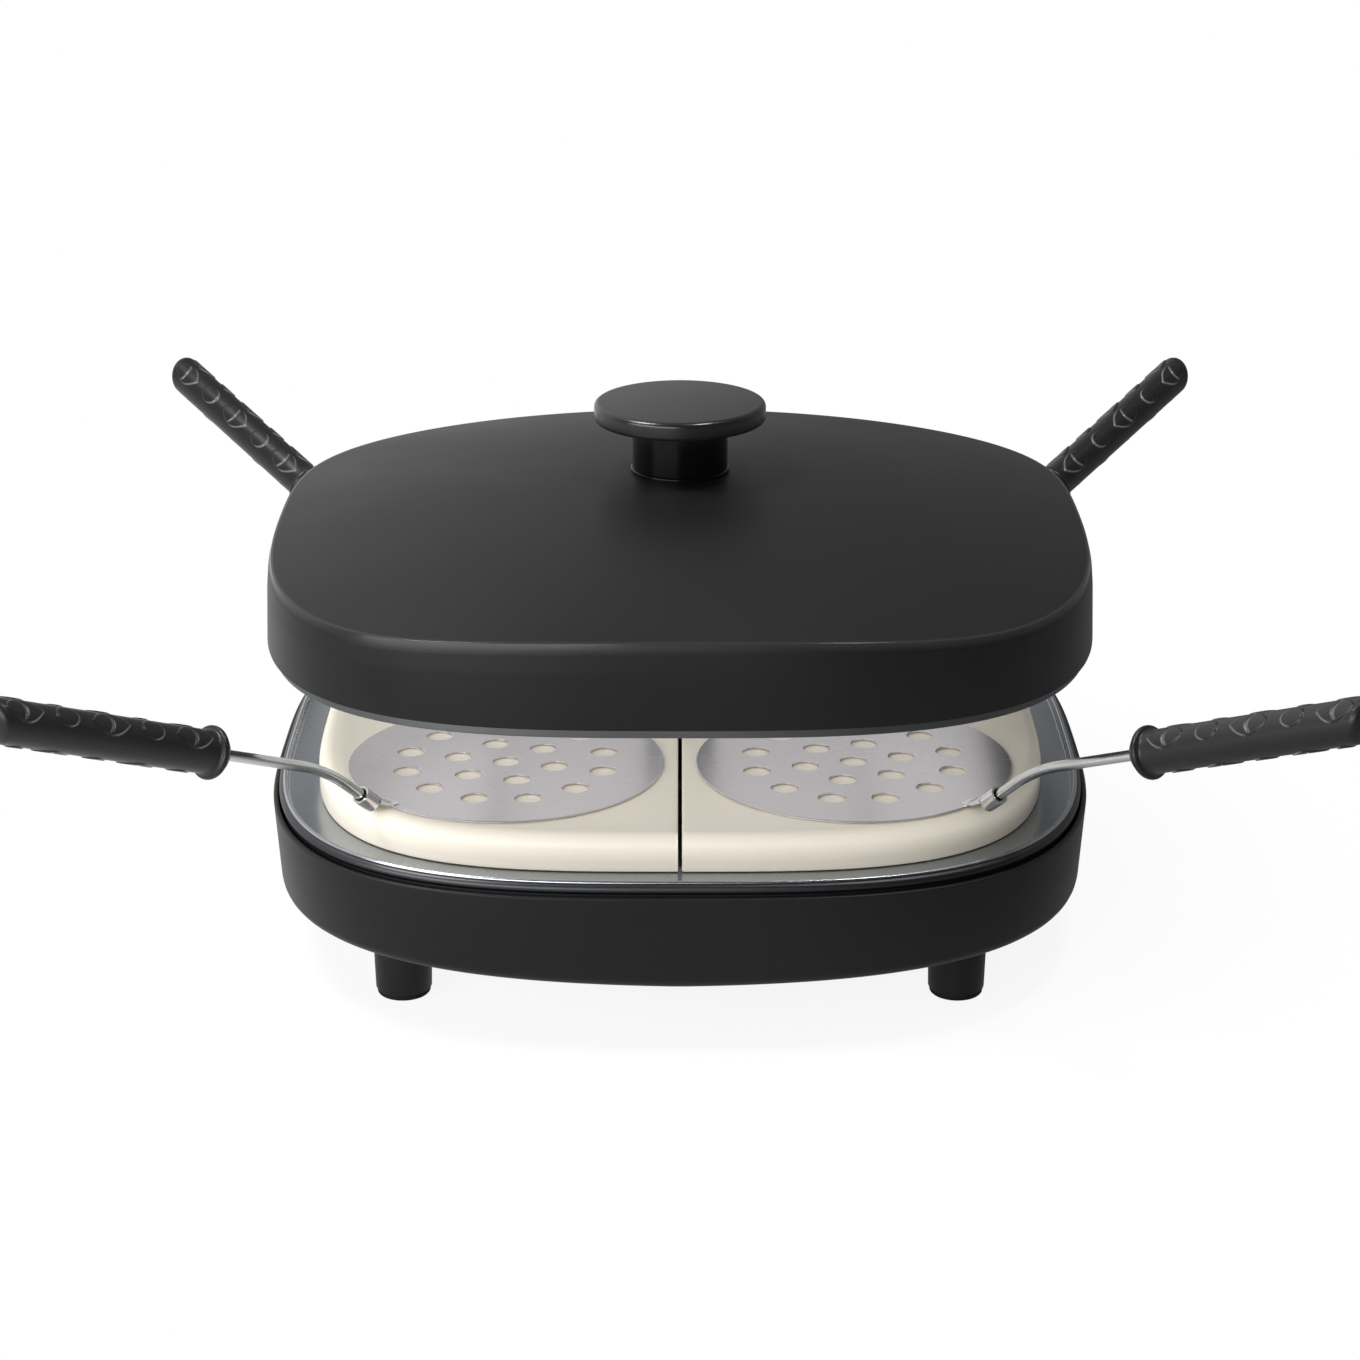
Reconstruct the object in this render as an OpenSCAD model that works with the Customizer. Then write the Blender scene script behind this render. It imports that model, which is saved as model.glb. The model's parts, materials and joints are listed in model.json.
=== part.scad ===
// Countertop pizza maker: a heated base with a split baking plate, a lid on a column, and four spatulas.
// Millimetres, +Z up, origin on the floor under the column. The front faces -Y.

/* [Base] */
// Width of the base over its rim
base_w = 317.2; // [305:0.2:335]
// Depth of the base over its rim
base_d = 313.6; // [300:0.2:330]
// Squareness of the plan outlines: 2 is an ellipse, more is squarer
outline_n = 3.12; // [2.9:0.01:3.4]
// Height of the rim above the lip that the bottom plate lies on
base_h = 37.9; // [36:0.1:46]
// Wall of the base shell
base_wall = 2; // [1.6:0.1:2.6]
// How far the side leans in from the rim to the lower edge
base_draft = 1.8; // [0.5:0.1:3]
// Radius of the shell's lower edge
base_edge_r = 5.5; // [4:0.1:6.5]
// Height of the lower edge above the lip, at the middle of a side
edge_lift = 1.2; // [0.8:0.1:2]
// Rise of the lower edge towards the corners
edge_rise = 12.4; // [8:0.2:16]
// Thickness of the lip that the bottom plate lies on
lip_t = 2; // [1.6:0.1:2.6]
// Thickness of the bottom plate
bottom_t = 1.2; // [0.8:0.1:2]

/* [Feet] */
// Height of a foot with its pad, from the floor to the lip
foot_h = 23; // [18:0.5:30]
// Diameter of a foot at its top
foot_d = 22; // [20:0.2:24]
// Diameter of a foot above its pad
foot_low_d = 21; // [18:0.1:22]
// Distance from the base outline to a foot's centre, at the sides
foot_in_w = 54.6; // [52:0.2:58]
// Distance from the base outline to a foot's centre, at the front and back
foot_in_d = 52.8; // [51:0.2:56]
// Height of a rubber pad
pad_h = 2.4; // [1.5:0.1:4]

/* [Tray] */
// Thickness of the tray and reflector sheets
sheet = 0.8; // [0.6:0.1:1.2]
// Radius of the rolled bead at the tray's edge
bead_r = 2.6; // [1.4:0.1:3]
// Height of the bead's middle above the flange
bead_up = 0.4; // [0:0.1:1]
// Gap between the bead and the inside of the base wall
tray_gap = 0.3; // [0.2:0.1:1.5]
// Height of the tray's flange above the base rim
flange_proud = 2.1; // [1.6:0.1:3]
// Depth of the heater pan below the flange
pan_depth = 18.2; // [17:0.1:19]
// Width of the flat flange, from the base outline to the pan
flange_w = 26; // [24:0.5:28]

/* [Plates] */
// Distance from the base outline to the plates, at the sides
plate_in_w = 18.1; // [16.5:0.1:21]
// Distance from the base outline to the plates, at the front and back
plate_in_d = 18.8; // [16.5:0.1:21]
// Squareness of the plates' outline
plate_n = 3.33; // [3:0.01:3.6]
// Thickness of a baking plate
plate_t = 13.9; // [11:0.1:16]
// Slit between the two plates
plate_slit = 1.5; // [1:0.1:3]
// Radius of the plates' upper outer edge
plate_edge_r = 5.5; // [3:0.1:7]

/* [Spatulas] */
// Diameter of a blade
blade_d = 120; // [112:0.5:124]
// Thickness of a blade
blade_t = 0.9; // [0.7:0.1:1.4]
// Distance between blade centres, both ways
blade_pitch = 132; // [128:0.5:138]
// Diameter of the holes in a blade
hole_d = 10; // [8:0.2:12]
// Radius of the inner ring of holes
hole_ring = 19.15; // [17:0.05:21]
// Diameter of the rod
rod_d = 4; // [3.4:0.1:4.6]
// Rise of the rod next to the blade, in degrees
neck_rise = 42; // [38:0.5:46]
// Rise of the grip, in degrees
grip_rise = 22.3; // [18:0.1:26]
// Distance from the blade's edge to the bend in the rod
bend_out = 27.2; // [24:0.2:30]
// Height of the bend above the blade
bend_up = 20.8; // [19.5:0.1:22]
// Radius of the bend
bend_r = 70; // [50:1:80]
// Distance from the blade's edge to the grip's collar
grip_out = 73.6; // [65:0.2:80]
// Length of the grip with its collar
grip_len = 101.5; // [90:0.5:112]
// Diameter of the grip over its relief
grip_d = 16.4; // [14:0.1:18]
// Diameter of the grip's collar
collar_d = 19.2; // [18:0.1:21]
// Length of the grip's collar
collar_len = 4.6; // [3:0.1:7]
// Turn of the two rear spatulas towards the sides, in degrees
rear_turn = 0.85; // [0:0.05:2]

/* [Column] */
// Outer diameter of the column
column_d = 28; // [26:0.5:30]
// Wall of the column
column_wall = 1.5; // [1.2:0.1:2]
// Gap between the column and the plates
column_gap = 2.5; // [1.5:0.1:4]

/* [Heaters] */
// Diameter of the heater tubes
element_d = 6.6; // [6:0.1:7.4]
// Half size of the lower heater's outer loop
loop_outer = 70; // [64:0.5:76]
// Half size of the lower heater's inner loop
loop_inner = 40; // [36:0.5:44]
// Half size of the upper heater's loop
loop_upper = 76; // [66:0.5:84]
// Bend radius of the heater tubes
loop_r = 12; // [11:0.5:16]
// Height of the lower heater's centre above the pan's floor
element_up = 9.2; // [8.4:0.1:10]
// Drop of the upper heater's centre below its reflector
element_down = 8; // [6:0.1:10]
// Height of the upper reflector above the plates
reflector_up = 61; // [58:0.5:63]

/* [Lid] */
// Width of the lid at its lower edge
lid_w = 316.4; // [305:0.2:330]
// Depth of the lid at its lower edge
lid_d = 309.8; // [300:0.2:325]
// How much narrower the lid is at its upper edge
lid_in_w = 2.4; // [2:0.1:9]
// How much shallower the lid is at its upper edge
lid_in_d = 3.7; // [2:0.1:8]
// Gap between the plates and the lid's lower edge
lid_gap = 47; // [44:0.5:52]
// Height of the lid's side at the middle
lid_side_h = 32.5; // [31:0.1:38]
// Height of the crown above the upper edge
lid_crown = 18.1; // [14:0.1:22]
// Radius between the lid's side and its crown
lid_edge_r = 3.6; // [2.5:0.1:5]
// Thickness of the lid shell
lid_t = 1.6; // [1.2:0.1:2]
// How far the liner's rim shows below the shell
liner_drop = 3.4; // [2:0.1:5]

/* [Knob] */
// Diameter of the knob's cap
knob_d = 66.5; // [56:0.5:76]
// Thickness of the knob's cap
knob_t = 7.2; // [6:0.1:10]
// Radius of the cap's edges
knob_edge_r = 2; // [1:0.1:2.6]
// Diameter of the knob's stem
stem_d = 37; // [32:0.5:44]
// Height of the knob's stem
stem_h = 18.8; // [16:0.1:26]
// Height of the ring at the stem's foot
ring_h = 1.4; // [1:0.1:2]

/* [Rear] */
// Distance of the cord gland and of the switch from the middle
port_x = 30; // [26:0.5:34]
// Height of the gland and the switch above the lip
port_up = 19.5; // [18:0.1:21]
// Radius of the gland's bore
cord_r = 3.6; // [3:0.1:4]
// Swing of the rocker, in degrees
rocker_swing = 18; // [12:1:22]

/* [Hidden] */
$fn = 64;
sides = 60;
corners = [["front_left", -1, -1], ["front_right", 1, -1], ["back_left", -1, 1], ["back_right", 1, 1]];
crosses = [[1, 0], [0, 1], [-1, 0], [0, -1]];
crown_power = 0.89;
seat_gap = 0.1;
rod_fit = 0.05;
screw_fit = 0.2;
rim_r = 0.8;
rise_power = 0.7;
flat_margin = 3.5;
cut = 1;

// Levels, from the floor up
lip_z = foot_h;
rim_z = lip_z + base_h;
edge_z = lip_z + edge_lift;
bottom_z = lip_z + lip_t;
foot_at = [base_w/2 - foot_in_w, base_d/2 - foot_in_d];
inner_z = bottom_z + bottom_t;
flange_z = rim_z + flange_proud;
pan_z = flange_z - pan_depth - sheet;
floor_z = pan_z + 2*sheet;
element_z = floor_z + element_up;
plate_z = flange_z + seat_gap;
plate_w = base_w - 2*plate_in_w;
plate_d = base_d - 2*plate_in_d;
plate_top = plate_z + plate_t;
blade_z = plate_top + seat_gap;
blade_top = blade_z + blade_t;
reflector_z = plate_top + reflector_up;
upper_z = reflector_z - element_down;
lid_z = plate_top + lid_gap;
ridge_z = lid_z + lid_side_h;
crown_z = ridge_z + lid_crown;
flat_r = stem_d/2 + flat_margin;
top_w = lid_w - lid_in_w;
top_d = lid_d - lid_in_d;
flat_z = crown_z - lid_crown*pow(4*flat_r*flat_r/(top_w*top_d), crown_power);
roof_t = 12.4;
liner_roof_h = 24;
seat_z = flat_z - lid_t - roof_t;
column_z = seat_z - seat_gap;
liner_z = lid_z + liner_roof_h;
stem_z = flat_z + ring_h;
cap_z = stem_z + stem_h;

// Section of the lid liner, from its rim up to its roof
liner_gap = 0.4;
liner_lean = 2.6;
liner_wall_h = 16;
liner_knee_in = 7;
liner_knee_h = 22.6;
liner_turn_in = 14;
liner_hole_gap = 4.4;

// Upper reflector and lid socket
reflector_in = 36;
reflector_skirt = 9;
reflector_collar_h = 5;
reflector_collar_w = 8;
socket_gap = 0.3;
socket_wall = 3.5;
socket_flange = 11;
socket_flange_t = 2;
head_room = 1;

// Insets from the base outline
lip_out = 16;
lip_in = 20;
lip_screw_in = (lip_out + lip_in)/2;
tray_in = base_wall + tray_gap + bead_r;
flange_root_in = tray_in + bead_r + 1;
pan_slope = 4;
pan_lip_w = 15;
pan_lip_in = flange_w + pan_slope + pan_lip_w;
post_in = pan_lip_in - pan_lip_w/2 - 0.5;

// Screws and small fittings
foot_screw_r = 1.7;
lip_screw_r = 1.2;
post_r = 5;
post_screw_r = 1.7;
post_bite = 10;
knob_screw_r = 2.5;
column_screw_r = 1.6;
column_flange_r = 30;
column_screw_ring = 23;
wire_r = 1.2;
wire_space = 2.2;
wire_end_gap = 1.8;
wire_room = 8;
wire_hole_r = 4.2;
wire_low_z = inner_z + 9.5;
wire_high_z = reflector_z + 5;
leg_x = 14;
leg_low_z = pan_z - 4;
leg_high_z = reflector_z + sheet + 5;
block = [40, 18, 12];
block_at = [-50, 70];
wire_z = inner_z + 7;
gland_body_r = 6;
gland_flange_r = 9;
gland_in = 15;
port_fit = 0.25;
housing = [22, 16, 14];
housing_wall = 1.6;
bezel = [26, 2, 18];
pin_r = 1.2;
pin_fit = 0.05;
pin_end = 1;
pivot_in = 2.6;
rocker_l = 16.4;

// A point of a squarish plan outline of half sizes a and b and squareness n, at angle t
function plan(a, b, t, n = outline_n) =
    let (r = pow(pow(abs(cos(t))/a, n) + pow(abs(sin(t))/b, n), -1/n))
    [r*cos(t), r*sin(t)];
function plan_points(a, b) = [for (i = [0:sides - 1]) plan(a, b, 360*i/sides)];
// How far a point lies out on an outline: 1 at the middle of a side, more at the corners
function reach(p, a, b) = pow(p.x/a, 2) + pow(p.y/b, 2);
function level(points, z) = [for (p = points) [p.x, p.y, z]];
function base_points(inset) = plan_points(base_w/2 - inset, base_d/2 - inset);
function lid_points(inset) = plan_points(lid_w/2 - inset, lid_d/2 - inset);
function round_points(r) = [for (i = [0:sides - 1]) [r*cos(360*i/sides), r*sin(360*i/sides)]];
function crown_at(p) = crown_z - lid_crown*pow(reach(p, top_w/2, top_d/2), crown_power);
// The rear face of the base shell, at a distance from the middle and a height
function rear_face(x, z) =
    let (inset = base_draft*(rim_z - z)/(rim_z - edge_z - base_edge_r))
    (base_d/2 - inset)*pow(1 - pow(x/(base_w/2 - inset), outline_n), 1/outline_n);
port_z = lip_z + port_up;
port_y = rear_face(port_x - bezel.x/2, port_z + bezel.z/2) + port_fit;

// A shell of closed rings, which follow its wall's section round in order
module ring_shell(rings) {
    n = len(rings[0]);
    m = len(rings);
    at = function(j, i) (j % m)*n + i % n;
    polyhedron(
        points = [for (r = rings) each r],
        faces = [for (j = [0:m - 1], i = [0:n - 1])
            each [
                [at(j, i), at(j, i + 1), at(j + 1, i + 1)],
                [at(j, i), at(j + 1, i + 1), at(j + 1, i)]]]);
}

// A solid of rings stacked from the top down, closed by its first and last ring
module ring_stack(rings) {
    n = len(rings[0]);
    m = len(rings);
    at = function(j, i) j*n + i % n;
    polyhedron(
        points = [for (r = rings) each r],
        faces = concat(
            [[for (i = [n - 1:-1:0]) i], [for (i = [0:n - 1]) at(m - 1, i)]],
            [for (j = [0:m - 2], i = [0:n - 1])
                each [
                    [at(j, i), at(j, i + 1), at(j + 1, i + 1)],
                    [at(j, i), at(j + 1, i + 1), at(j + 1, i)]]]));
}

// A round tube along a flat path with a bend at each inner point
module bent_tube(path, r, bend) {
    last = len(path) - 1;
    way = [for (i = [0:last - 1]) (path[i + 1] - path[i])/norm(path[i + 1] - path[i])];
    turn = [for (i = [0:last]) i == 0 || i == last ? 0 :
        atan2(way[i - 1].x*way[i].y - way[i - 1].y*way[i].x, way[i - 1]*way[i])];
    trim = [for (a = turn) bend*tan(abs(a)/2)];
    for (i = [0:last - 1]) {
        start = path[i] + way[i]*trim[i];
        length = norm(path[i + 1] - path[i]) - trim[i] - trim[i + 1];
        translate(start) rotate([0, 90, atan2(way[i].y, way[i].x)]) cylinder(r = r, h = length);
    }
    for (i = [1:1:last - 1]) {
        heading = atan2(way[i - 1].y, way[i - 1].x);
        hand = sign(turn[i]);
        centre = path[i] - way[i - 1]*trim[i] + hand*bend*[-way[i - 1].y, way[i - 1].x];
        first = hand > 0 ? heading - 90 : heading + 90 - abs(turn[i]);
        translate(centre) rotate(first) rotate_extrude(angle = abs(turn[i])) translate([bend, 0]) circle(r);
    }
}

// The directions across a tube at each of its points, carried along so that the tube doesn't twist
function unit(v) = v/norm(v);
function across(way, u, i) = i == len(way) ? [] :
    let (side = unit(u - (u*way[i])*way[i])) concat([side], across(way, side, i + 1));

// A round tube through points in space
module swept_tube(points, r, count) {
    last = len(points) - 1;
    none = [0, 0, 0];
    leave = [for (i = [0:last]) i < last ? unit(points[i + 1] - points[i]) : none];
    way = [for (i = [0:last]) unit(leave[i] + (i > 0 ? leave[i - 1] : none))];
    side = across(way, [0.6, 0.5, 0.62], 0);
    ring_stack([for (i = [0:last])
        [for (k = [0:count - 1])
            let (a = 360*k/count) points[i] + r*(cos(a)*side[i] - sin(a)*cross(way[i], side[i]))]]);
}

module wire(points) {
    swept_tube(points, wire_r, 8);
}

// A pan-headed screw that points up from the underside of its head
module screw(r, length) {
    cylinder(r = r, h = length);
    translate([0, 0, -1.1*r]) cylinder(r = 2*r, h = 1.1*r);
}

module at_corner(c, at) {
    translate([c[1]*at.x, c[2]*at.y, 0]) children();
}

// Puts a spatula's piece on its blade's centre, with its own X axis pointing out of the corner
module at_blade(c) {
    turn = c[2] > 0 ? c[1]*rear_turn : 0;
    at_corner(c, [blade_pitch/2, blade_pitch/2]) rotate(atan2(c[2], c[1]) - turn) children();
}

// Base

module base_shell() {
    rise = [for (p = base_points(0)) edge_rise*pow(max(0, reach(p, base_w/2, base_d/2) - 1), rise_power)];
    // Each row holds an inset, a height and whether the height rises with the lower edge
    section = concat(
        [[base_wall, rim_z - rim_r, 0], [base_wall - rim_r, rim_z, 0]],
        [[rim_r, rim_z, 0], [0, rim_z - rim_r, 0]],
        [for (a = [0:30:90])
            [base_draft + base_edge_r*(1 - cos(a)), edge_z + base_edge_r*(1 - sin(a)), 1]],
        [[lip_out, lip_z, 0], [lip_in, lip_z, 0], [lip_in, bottom_z, 0], [lip_out, bottom_z, 0]],
        [[base_draft + base_wall + base_edge_r, edge_z + lip_t + 1.2, 1]],
        [[base_draft + base_wall, edge_z + lip_t + base_edge_r, 1]]);
    color("#2b2b2c") difference() {
        ring_shell([for (s = section)
            let (flat = base_points(s[0]))
            [for (i = [0:sides - 1]) [flat[i].x, flat[i].y, s[1] + s[2]*rise[i]]]]);
        translate([-port_x, port_y, port_z]) rotate([90, 0, 0])
            cylinder(r = gland_body_r + port_fit, h = gland_in, center = true);
        translate([port_x, port_y, port_z])
            cube([housing.x + 2*port_fit, 2*gland_in, housing.z + 2*port_fit], center = true);
        for (c = crosses)
            translate([c.x*(base_w/2 - lip_screw_in), c.y*(base_d/2 - lip_screw_in), lip_z - cut])
                cylinder(r = lip_screw_r + screw_fit, h = lip_t + 2*cut);
    }
}

module bottom_plate() {
    color("#77787a") difference() {
        translate([0, 0, bottom_z]) linear_extrude(bottom_t) polygon(base_points(lip_out + 0.4));
        for (c = crosses) {
            translate([c.x*(base_w/2 - lip_screw_in), c.y*(base_d/2 - lip_screw_in), bottom_z - cut])
                cylinder(r = lip_screw_r + screw_fit, h = bottom_t + 2*cut);
            translate([c.x*(base_w/2 - post_in), c.y*(base_d/2 - post_in), bottom_z - cut])
                cylinder(r = post_screw_r + screw_fit, h = bottom_t + 2*cut);
        }
        for (c = corners) at_corner(c, foot_at) translate([0, 0, bottom_z - cut])
            cylinder(r = foot_screw_r + screw_fit, h = bottom_t + 2*cut);
        for (a = [0:120:240]) rotate(a) translate([column_screw_ring, 0, bottom_z - cut])
            cylinder(r = column_screw_r + screw_fit, h = bottom_t + 2*cut);
    }
}

module bottom_screws() {
    color("silver") for (c = crosses)
        translate([c.x*(base_w/2 - lip_screw_in), c.y*(base_d/2 - lip_screw_in), lip_z])
            screw(lip_screw_r, lip_t + bottom_t + 1);
}

module foot(c) {
    bevel = 0.5;
    color("#262627") at_corner(c, foot_at) difference() {
        rotate_extrude() polygon([
            [0, pad_h], [foot_low_d/2 - bevel, pad_h], [foot_low_d/2, pad_h + bevel], [foot_d/2, lip_z],
            [foot_d/4, lip_z], [foot_d/4, bottom_z], [0, bottom_z]]);
        translate([0, 0, bottom_z - foot_h/2]) cylinder(r = foot_screw_r + rod_fit, h = foot_h);
    }
}

module pad(c) {
    bevel = 1.4;
    r = foot_low_d/2 - 0.5;
    color("#161616") at_corner(c, foot_at)
        rotate_extrude() polygon([[0, 0], [r - bevel, 0], [r, bevel], [r, pad_h], [0, pad_h]]);
}

module foot_screws() {
    color("silver") for (c = corners)
        at_corner(c, foot_at) translate([0, 0, inner_z]) rotate([180, 0, 0]) screw(foot_screw_r, foot_h/3);
}

module tray() {
    bead_z = flange_z + bead_up;
    section = concat(
        [for (a = [150:-60:-150]) [tray_in - bead_r*cos(a), bead_z + bead_r*sin(a)]],
        [[flange_w - sheet, flange_z - sheet], [flange_w + pan_slope - sheet, pan_z], [pan_lip_in, pan_z]],
        [[pan_lip_in, pan_z + sheet], [flange_w + pan_slope, pan_z + sheet]],
        [[flange_w, flange_z], [flange_root_in, flange_z]]);
    color("#8d9195") ring_shell([for (s = section) level(base_points(s[0]), s[1])]);
}

module tray_posts() {
    color("silver") for (c = crosses)
        translate([c.x*(base_w/2 - post_in), c.y*(base_d/2 - post_in), inner_z]) difference() {
            cylinder(r = post_r, h = pan_z - inner_z);
            translate([0, 0, -cut]) cylinder(r = post_screw_r + rod_fit, h = pan_z - inner_z - 3 + cut);
        }
}

module post_screws() {
    color("silver") for (c = crosses)
        translate([c.x*(base_w/2 - post_in), c.y*(base_d/2 - post_in), bottom_z])
            screw(post_screw_r, bottom_t + post_bite);
}

// Lower heater

module lower_reflector() {
    color("#b4b7ba") difference() {
        translate([0, 0, pan_z + sheet]) linear_extrude(sheet)
            polygon(base_points(flange_w + pan_slope + 1.5));
        translate([0, 0, pan_z]) {
            cylinder(d = column_d + 2*port_fit, h = 4*sheet);
            for (y = [loop_inner, loop_outer])
                translate([leg_x, y, 0]) cylinder(d = element_d + 2, h = 4*sheet);
        }
    }
}

module lower_element() {
    path = [
        [leg_x, loop_outer], [loop_outer, loop_outer], [loop_outer, -loop_outer], [-loop_outer, -loop_outer],
        [-loop_outer, loop_outer], [-leg_x, loop_outer], [-leg_x, loop_inner], [-loop_inner, loop_inner],
        [-loop_inner, -loop_inner], [loop_inner, -loop_inner], [loop_inner, loop_inner], [leg_x, loop_inner]];
    color("#4f4a46") {
        translate([0, 0, element_z]) bent_tube(path, element_d/2, loop_r);
        for (y = [loop_inner, loop_outer]) translate([leg_x, y, leg_low_z]) {
            cylinder(d = element_d, h = element_z - leg_low_z);
            translate([0, 0, element_z - leg_low_z]) sphere(d = element_d);
        }
    }
}

// A cradle under a tube that runs along X, from its foot up to the tube's centre
module cradle(height) {
    long = 8;
    wide = element_d + 4;
    difference() {
        translate([-long/2, -wide/2, 0]) cube([long, wide, height]);
        translate([-long, 0, height]) rotate([0, 90, 0]) cylinder(d = element_d + 4*seat_gap, h = 2*long);
    }
}

module lower_clips() {
    color("silver") translate([0, 0, floor_z]) {
        for (s = [-1, 1]) translate([s*loop_outer, 0, 0]) rotate(90) cradle(element_up);
        for (y = [loop_inner, loop_outer]) translate([0, -y, 0]) cradle(element_up);
    }
}

// Column and upper heater

module column_tube() {
    r = column_d/2;
    color("#a9acaf") difference() {
        translate([0, 0, inner_z]) cylinder(r = r, h = column_z - 2 - inner_z);
        translate([0, 0, inner_z - cut]) cylinder(r = r - column_wall, h = seat_z);
        translate([0, 0, wire_low_z]) rotate([0, -90, 0]) cylinder(r = wire_hole_r, h = column_d);
        translate([0, 0, wire_high_z]) rotate([-90, 0, 0]) cylinder(r = wire_hole_r, h = column_d);
    }
}

module column_foot() {
    color("#8a8d90") difference() {
        translate([0, 0, inner_z]) cylinder(r = column_flange_r, h = 3);
        translate([0, 0, inner_z - cut]) cylinder(d = column_d + 2*rod_fit, h = 3 + 2*cut);
        for (a = [0:120:240]) rotate(a) translate([column_screw_ring, 0, inner_z - cut])
            cylinder(r = column_screw_r + rod_fit, h = 3 + 2*cut);
    }
}

module column_screws() {
    color("silver") for (a = [0:120:240])
        rotate(a) translate([column_screw_ring, 0, bottom_z]) screw(column_screw_r, bottom_t + 3);
}

module column_cap() {
    r = column_d/2;
    color("#8a8d90") {
        translate([0, 0, column_z - 2]) cylinder(r = r, h = 2);
        translate([0, 0, column_z - 8]) cylinder(r = r - column_wall - rod_fit, h = 6);
    }
}

module reflector_collar() {
    h = reflector_collar_h;
    color("#8a8d90") translate([0, 0, reflector_z - h]) difference() {
        cylinder(d = column_d + 2*reflector_collar_w, h = h);
        translate([0, 0, -cut]) cylinder(d = column_d + 2*rod_fit, h = h + 2*cut);
    }
}

module upper_reflector() {
    skirt = reflector_skirt;
    color("#b4b7ba") difference() {
        translate([0, 0, reflector_z - skirt]) linear_extrude(skirt + sheet)
            polygon(lid_points(reflector_in));
        translate([0, 0, reflector_z - skirt - cut]) linear_extrude(skirt + cut)
            polygon(lid_points(reflector_in + sheet));
        translate([0, 0, reflector_z - cut]) {
            cylinder(d = column_d + 2*port_fit, h = sheet + 2*cut);
            for (s = [-1, 1])
                translate([s*leg_x, loop_upper, 0]) cylinder(d = element_d + 2, h = sheet + 2*cut);
        }
    }
}

module upper_element() {
    path = [
        [leg_x, loop_upper], [loop_upper, loop_upper], [loop_upper, -loop_upper], [-loop_upper, -loop_upper],
        [-loop_upper, loop_upper], [-leg_x, loop_upper]];
    color("#4f4a46") {
        translate([0, 0, upper_z]) bent_tube(path, element_d/2, loop_r);
        for (s = [-1, 1]) translate([s*leg_x, loop_upper, upper_z]) {
            cylinder(d = element_d, h = leg_high_z - upper_z);
            sphere(d = element_d);
        }
    }
}

module upper_clips() {
    color("silver") for (a = [90, 180, 270])
        rotate(a + 90) translate([0, loop_upper, reflector_z]) mirror([0, 0, 1]) cradle(element_down);
}

// Wiring

module terminal_block() {
    color("#d9d4c6") translate([block_at.x, block_at.y, inner_z]) difference() {
        translate([-block.x/2, -block.y/2, 0]) cube(block);
        for (x = [-1:1], y = [-1, 1])
            translate([x*block.x/3.2, y*block.y/4, block.z/2]) cylinder(r = wire_r + 0.6, h = block.z);
    }
}

module thermal_cutout() {
    color("#c8c2b4") translate([loop_inner + 15, -loop_inner - 15, pan_z + sheet]) mirror([0, 0, 1]) {
        cylinder(d = 18, h = 5);
        cylinder(d = 11, h = 9);
    }
}

module wires_lower() {
    side = block_at.x + block.x/2;
    face = block_at.y - block.y/2;
    color("#b8312f") {
        wire([[leg_x, loop_outer, leg_low_z], [leg_x, loop_outer, wire_z], [side, loop_outer, wire_z]]);
        wire([[leg_x, loop_inner, leg_low_z], [leg_x, loop_inner, wire_z],
            [block_at.x + block.x/5, loop_inner, wire_z], [block_at.x + block.x/5, face, wire_z]]);
    }
}

module wires_column() {
    face = block_at.y - block.y/2;
    color("#b8312f") for (s = [-1, 1])
        wire([
            [s*leg_x, loop_upper, leg_high_z], [s*leg_x, loop_upper, leg_high_z + 2],
            [s*wire_space, column_d/2 + 10, wire_high_z], [s*wire_space, s*wire_space, wire_high_z],
            [s*wire_space, s*wire_space, wire_low_z], [block_at.x - 4 + 6*s, s*wire_space, wire_low_z],
            [block_at.x - 4 + 6*s, face, wire_z]]);
}

module wires_supply() {
    back = block_at.y + block.y/2;
    gland_y = port_y - gland_in - wire_end_gap;
    switch_y = port_y - housing.y - wire_end_gap;
    start_z = pan_z - wire_room;
    near = block_at.x + block.x/8;
    far = block_at.x + 3*block.x/8;
    round_post = [post_r + wire_room, base_d/2 - post_in - post_r - wire_room, wire_z];
    color("#3b5f9a") {
        wire([[-port_x, gland_y, port_z], [-port_x, gland_y - wire_room/2, start_z],
            [near, back + block.y, wire_z], [near, back, wire_z]]);
        wire([[port_x, switch_y, port_z], [port_x, switch_y - wire_room/2, start_z], round_post,
            [far, back + block.y/2, wire_z], [far, back, wire_z]]);
    }
}

// Rear fittings

module cord_gland() {
    lip = 3;
    color("#1d1d1e") translate([-port_x, port_y, port_z]) rotate([90, 0, 0]) rotate_extrude()
        polygon([[cord_r, -lip], [gland_flange_r - lip/2, -lip], [gland_flange_r, -lip/2],
            [gland_flange_r, 0], [gland_body_r, 0], [gland_body_r, gland_in], [cord_r, gland_in]]);
}

module gland_nut() {
    thick = 4;
    inside = base_wall + base_draft + port_fit;
    color("#303031") translate([-port_x, port_y - inside, port_z]) rotate([90, 0, 0]) difference() {
        cylinder(r = gland_flange_r, h = thick);
        translate([0, 0, -cut]) cylinder(r = gland_body_r + rod_fit, h = thick + 2*cut);
    }
}

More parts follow.
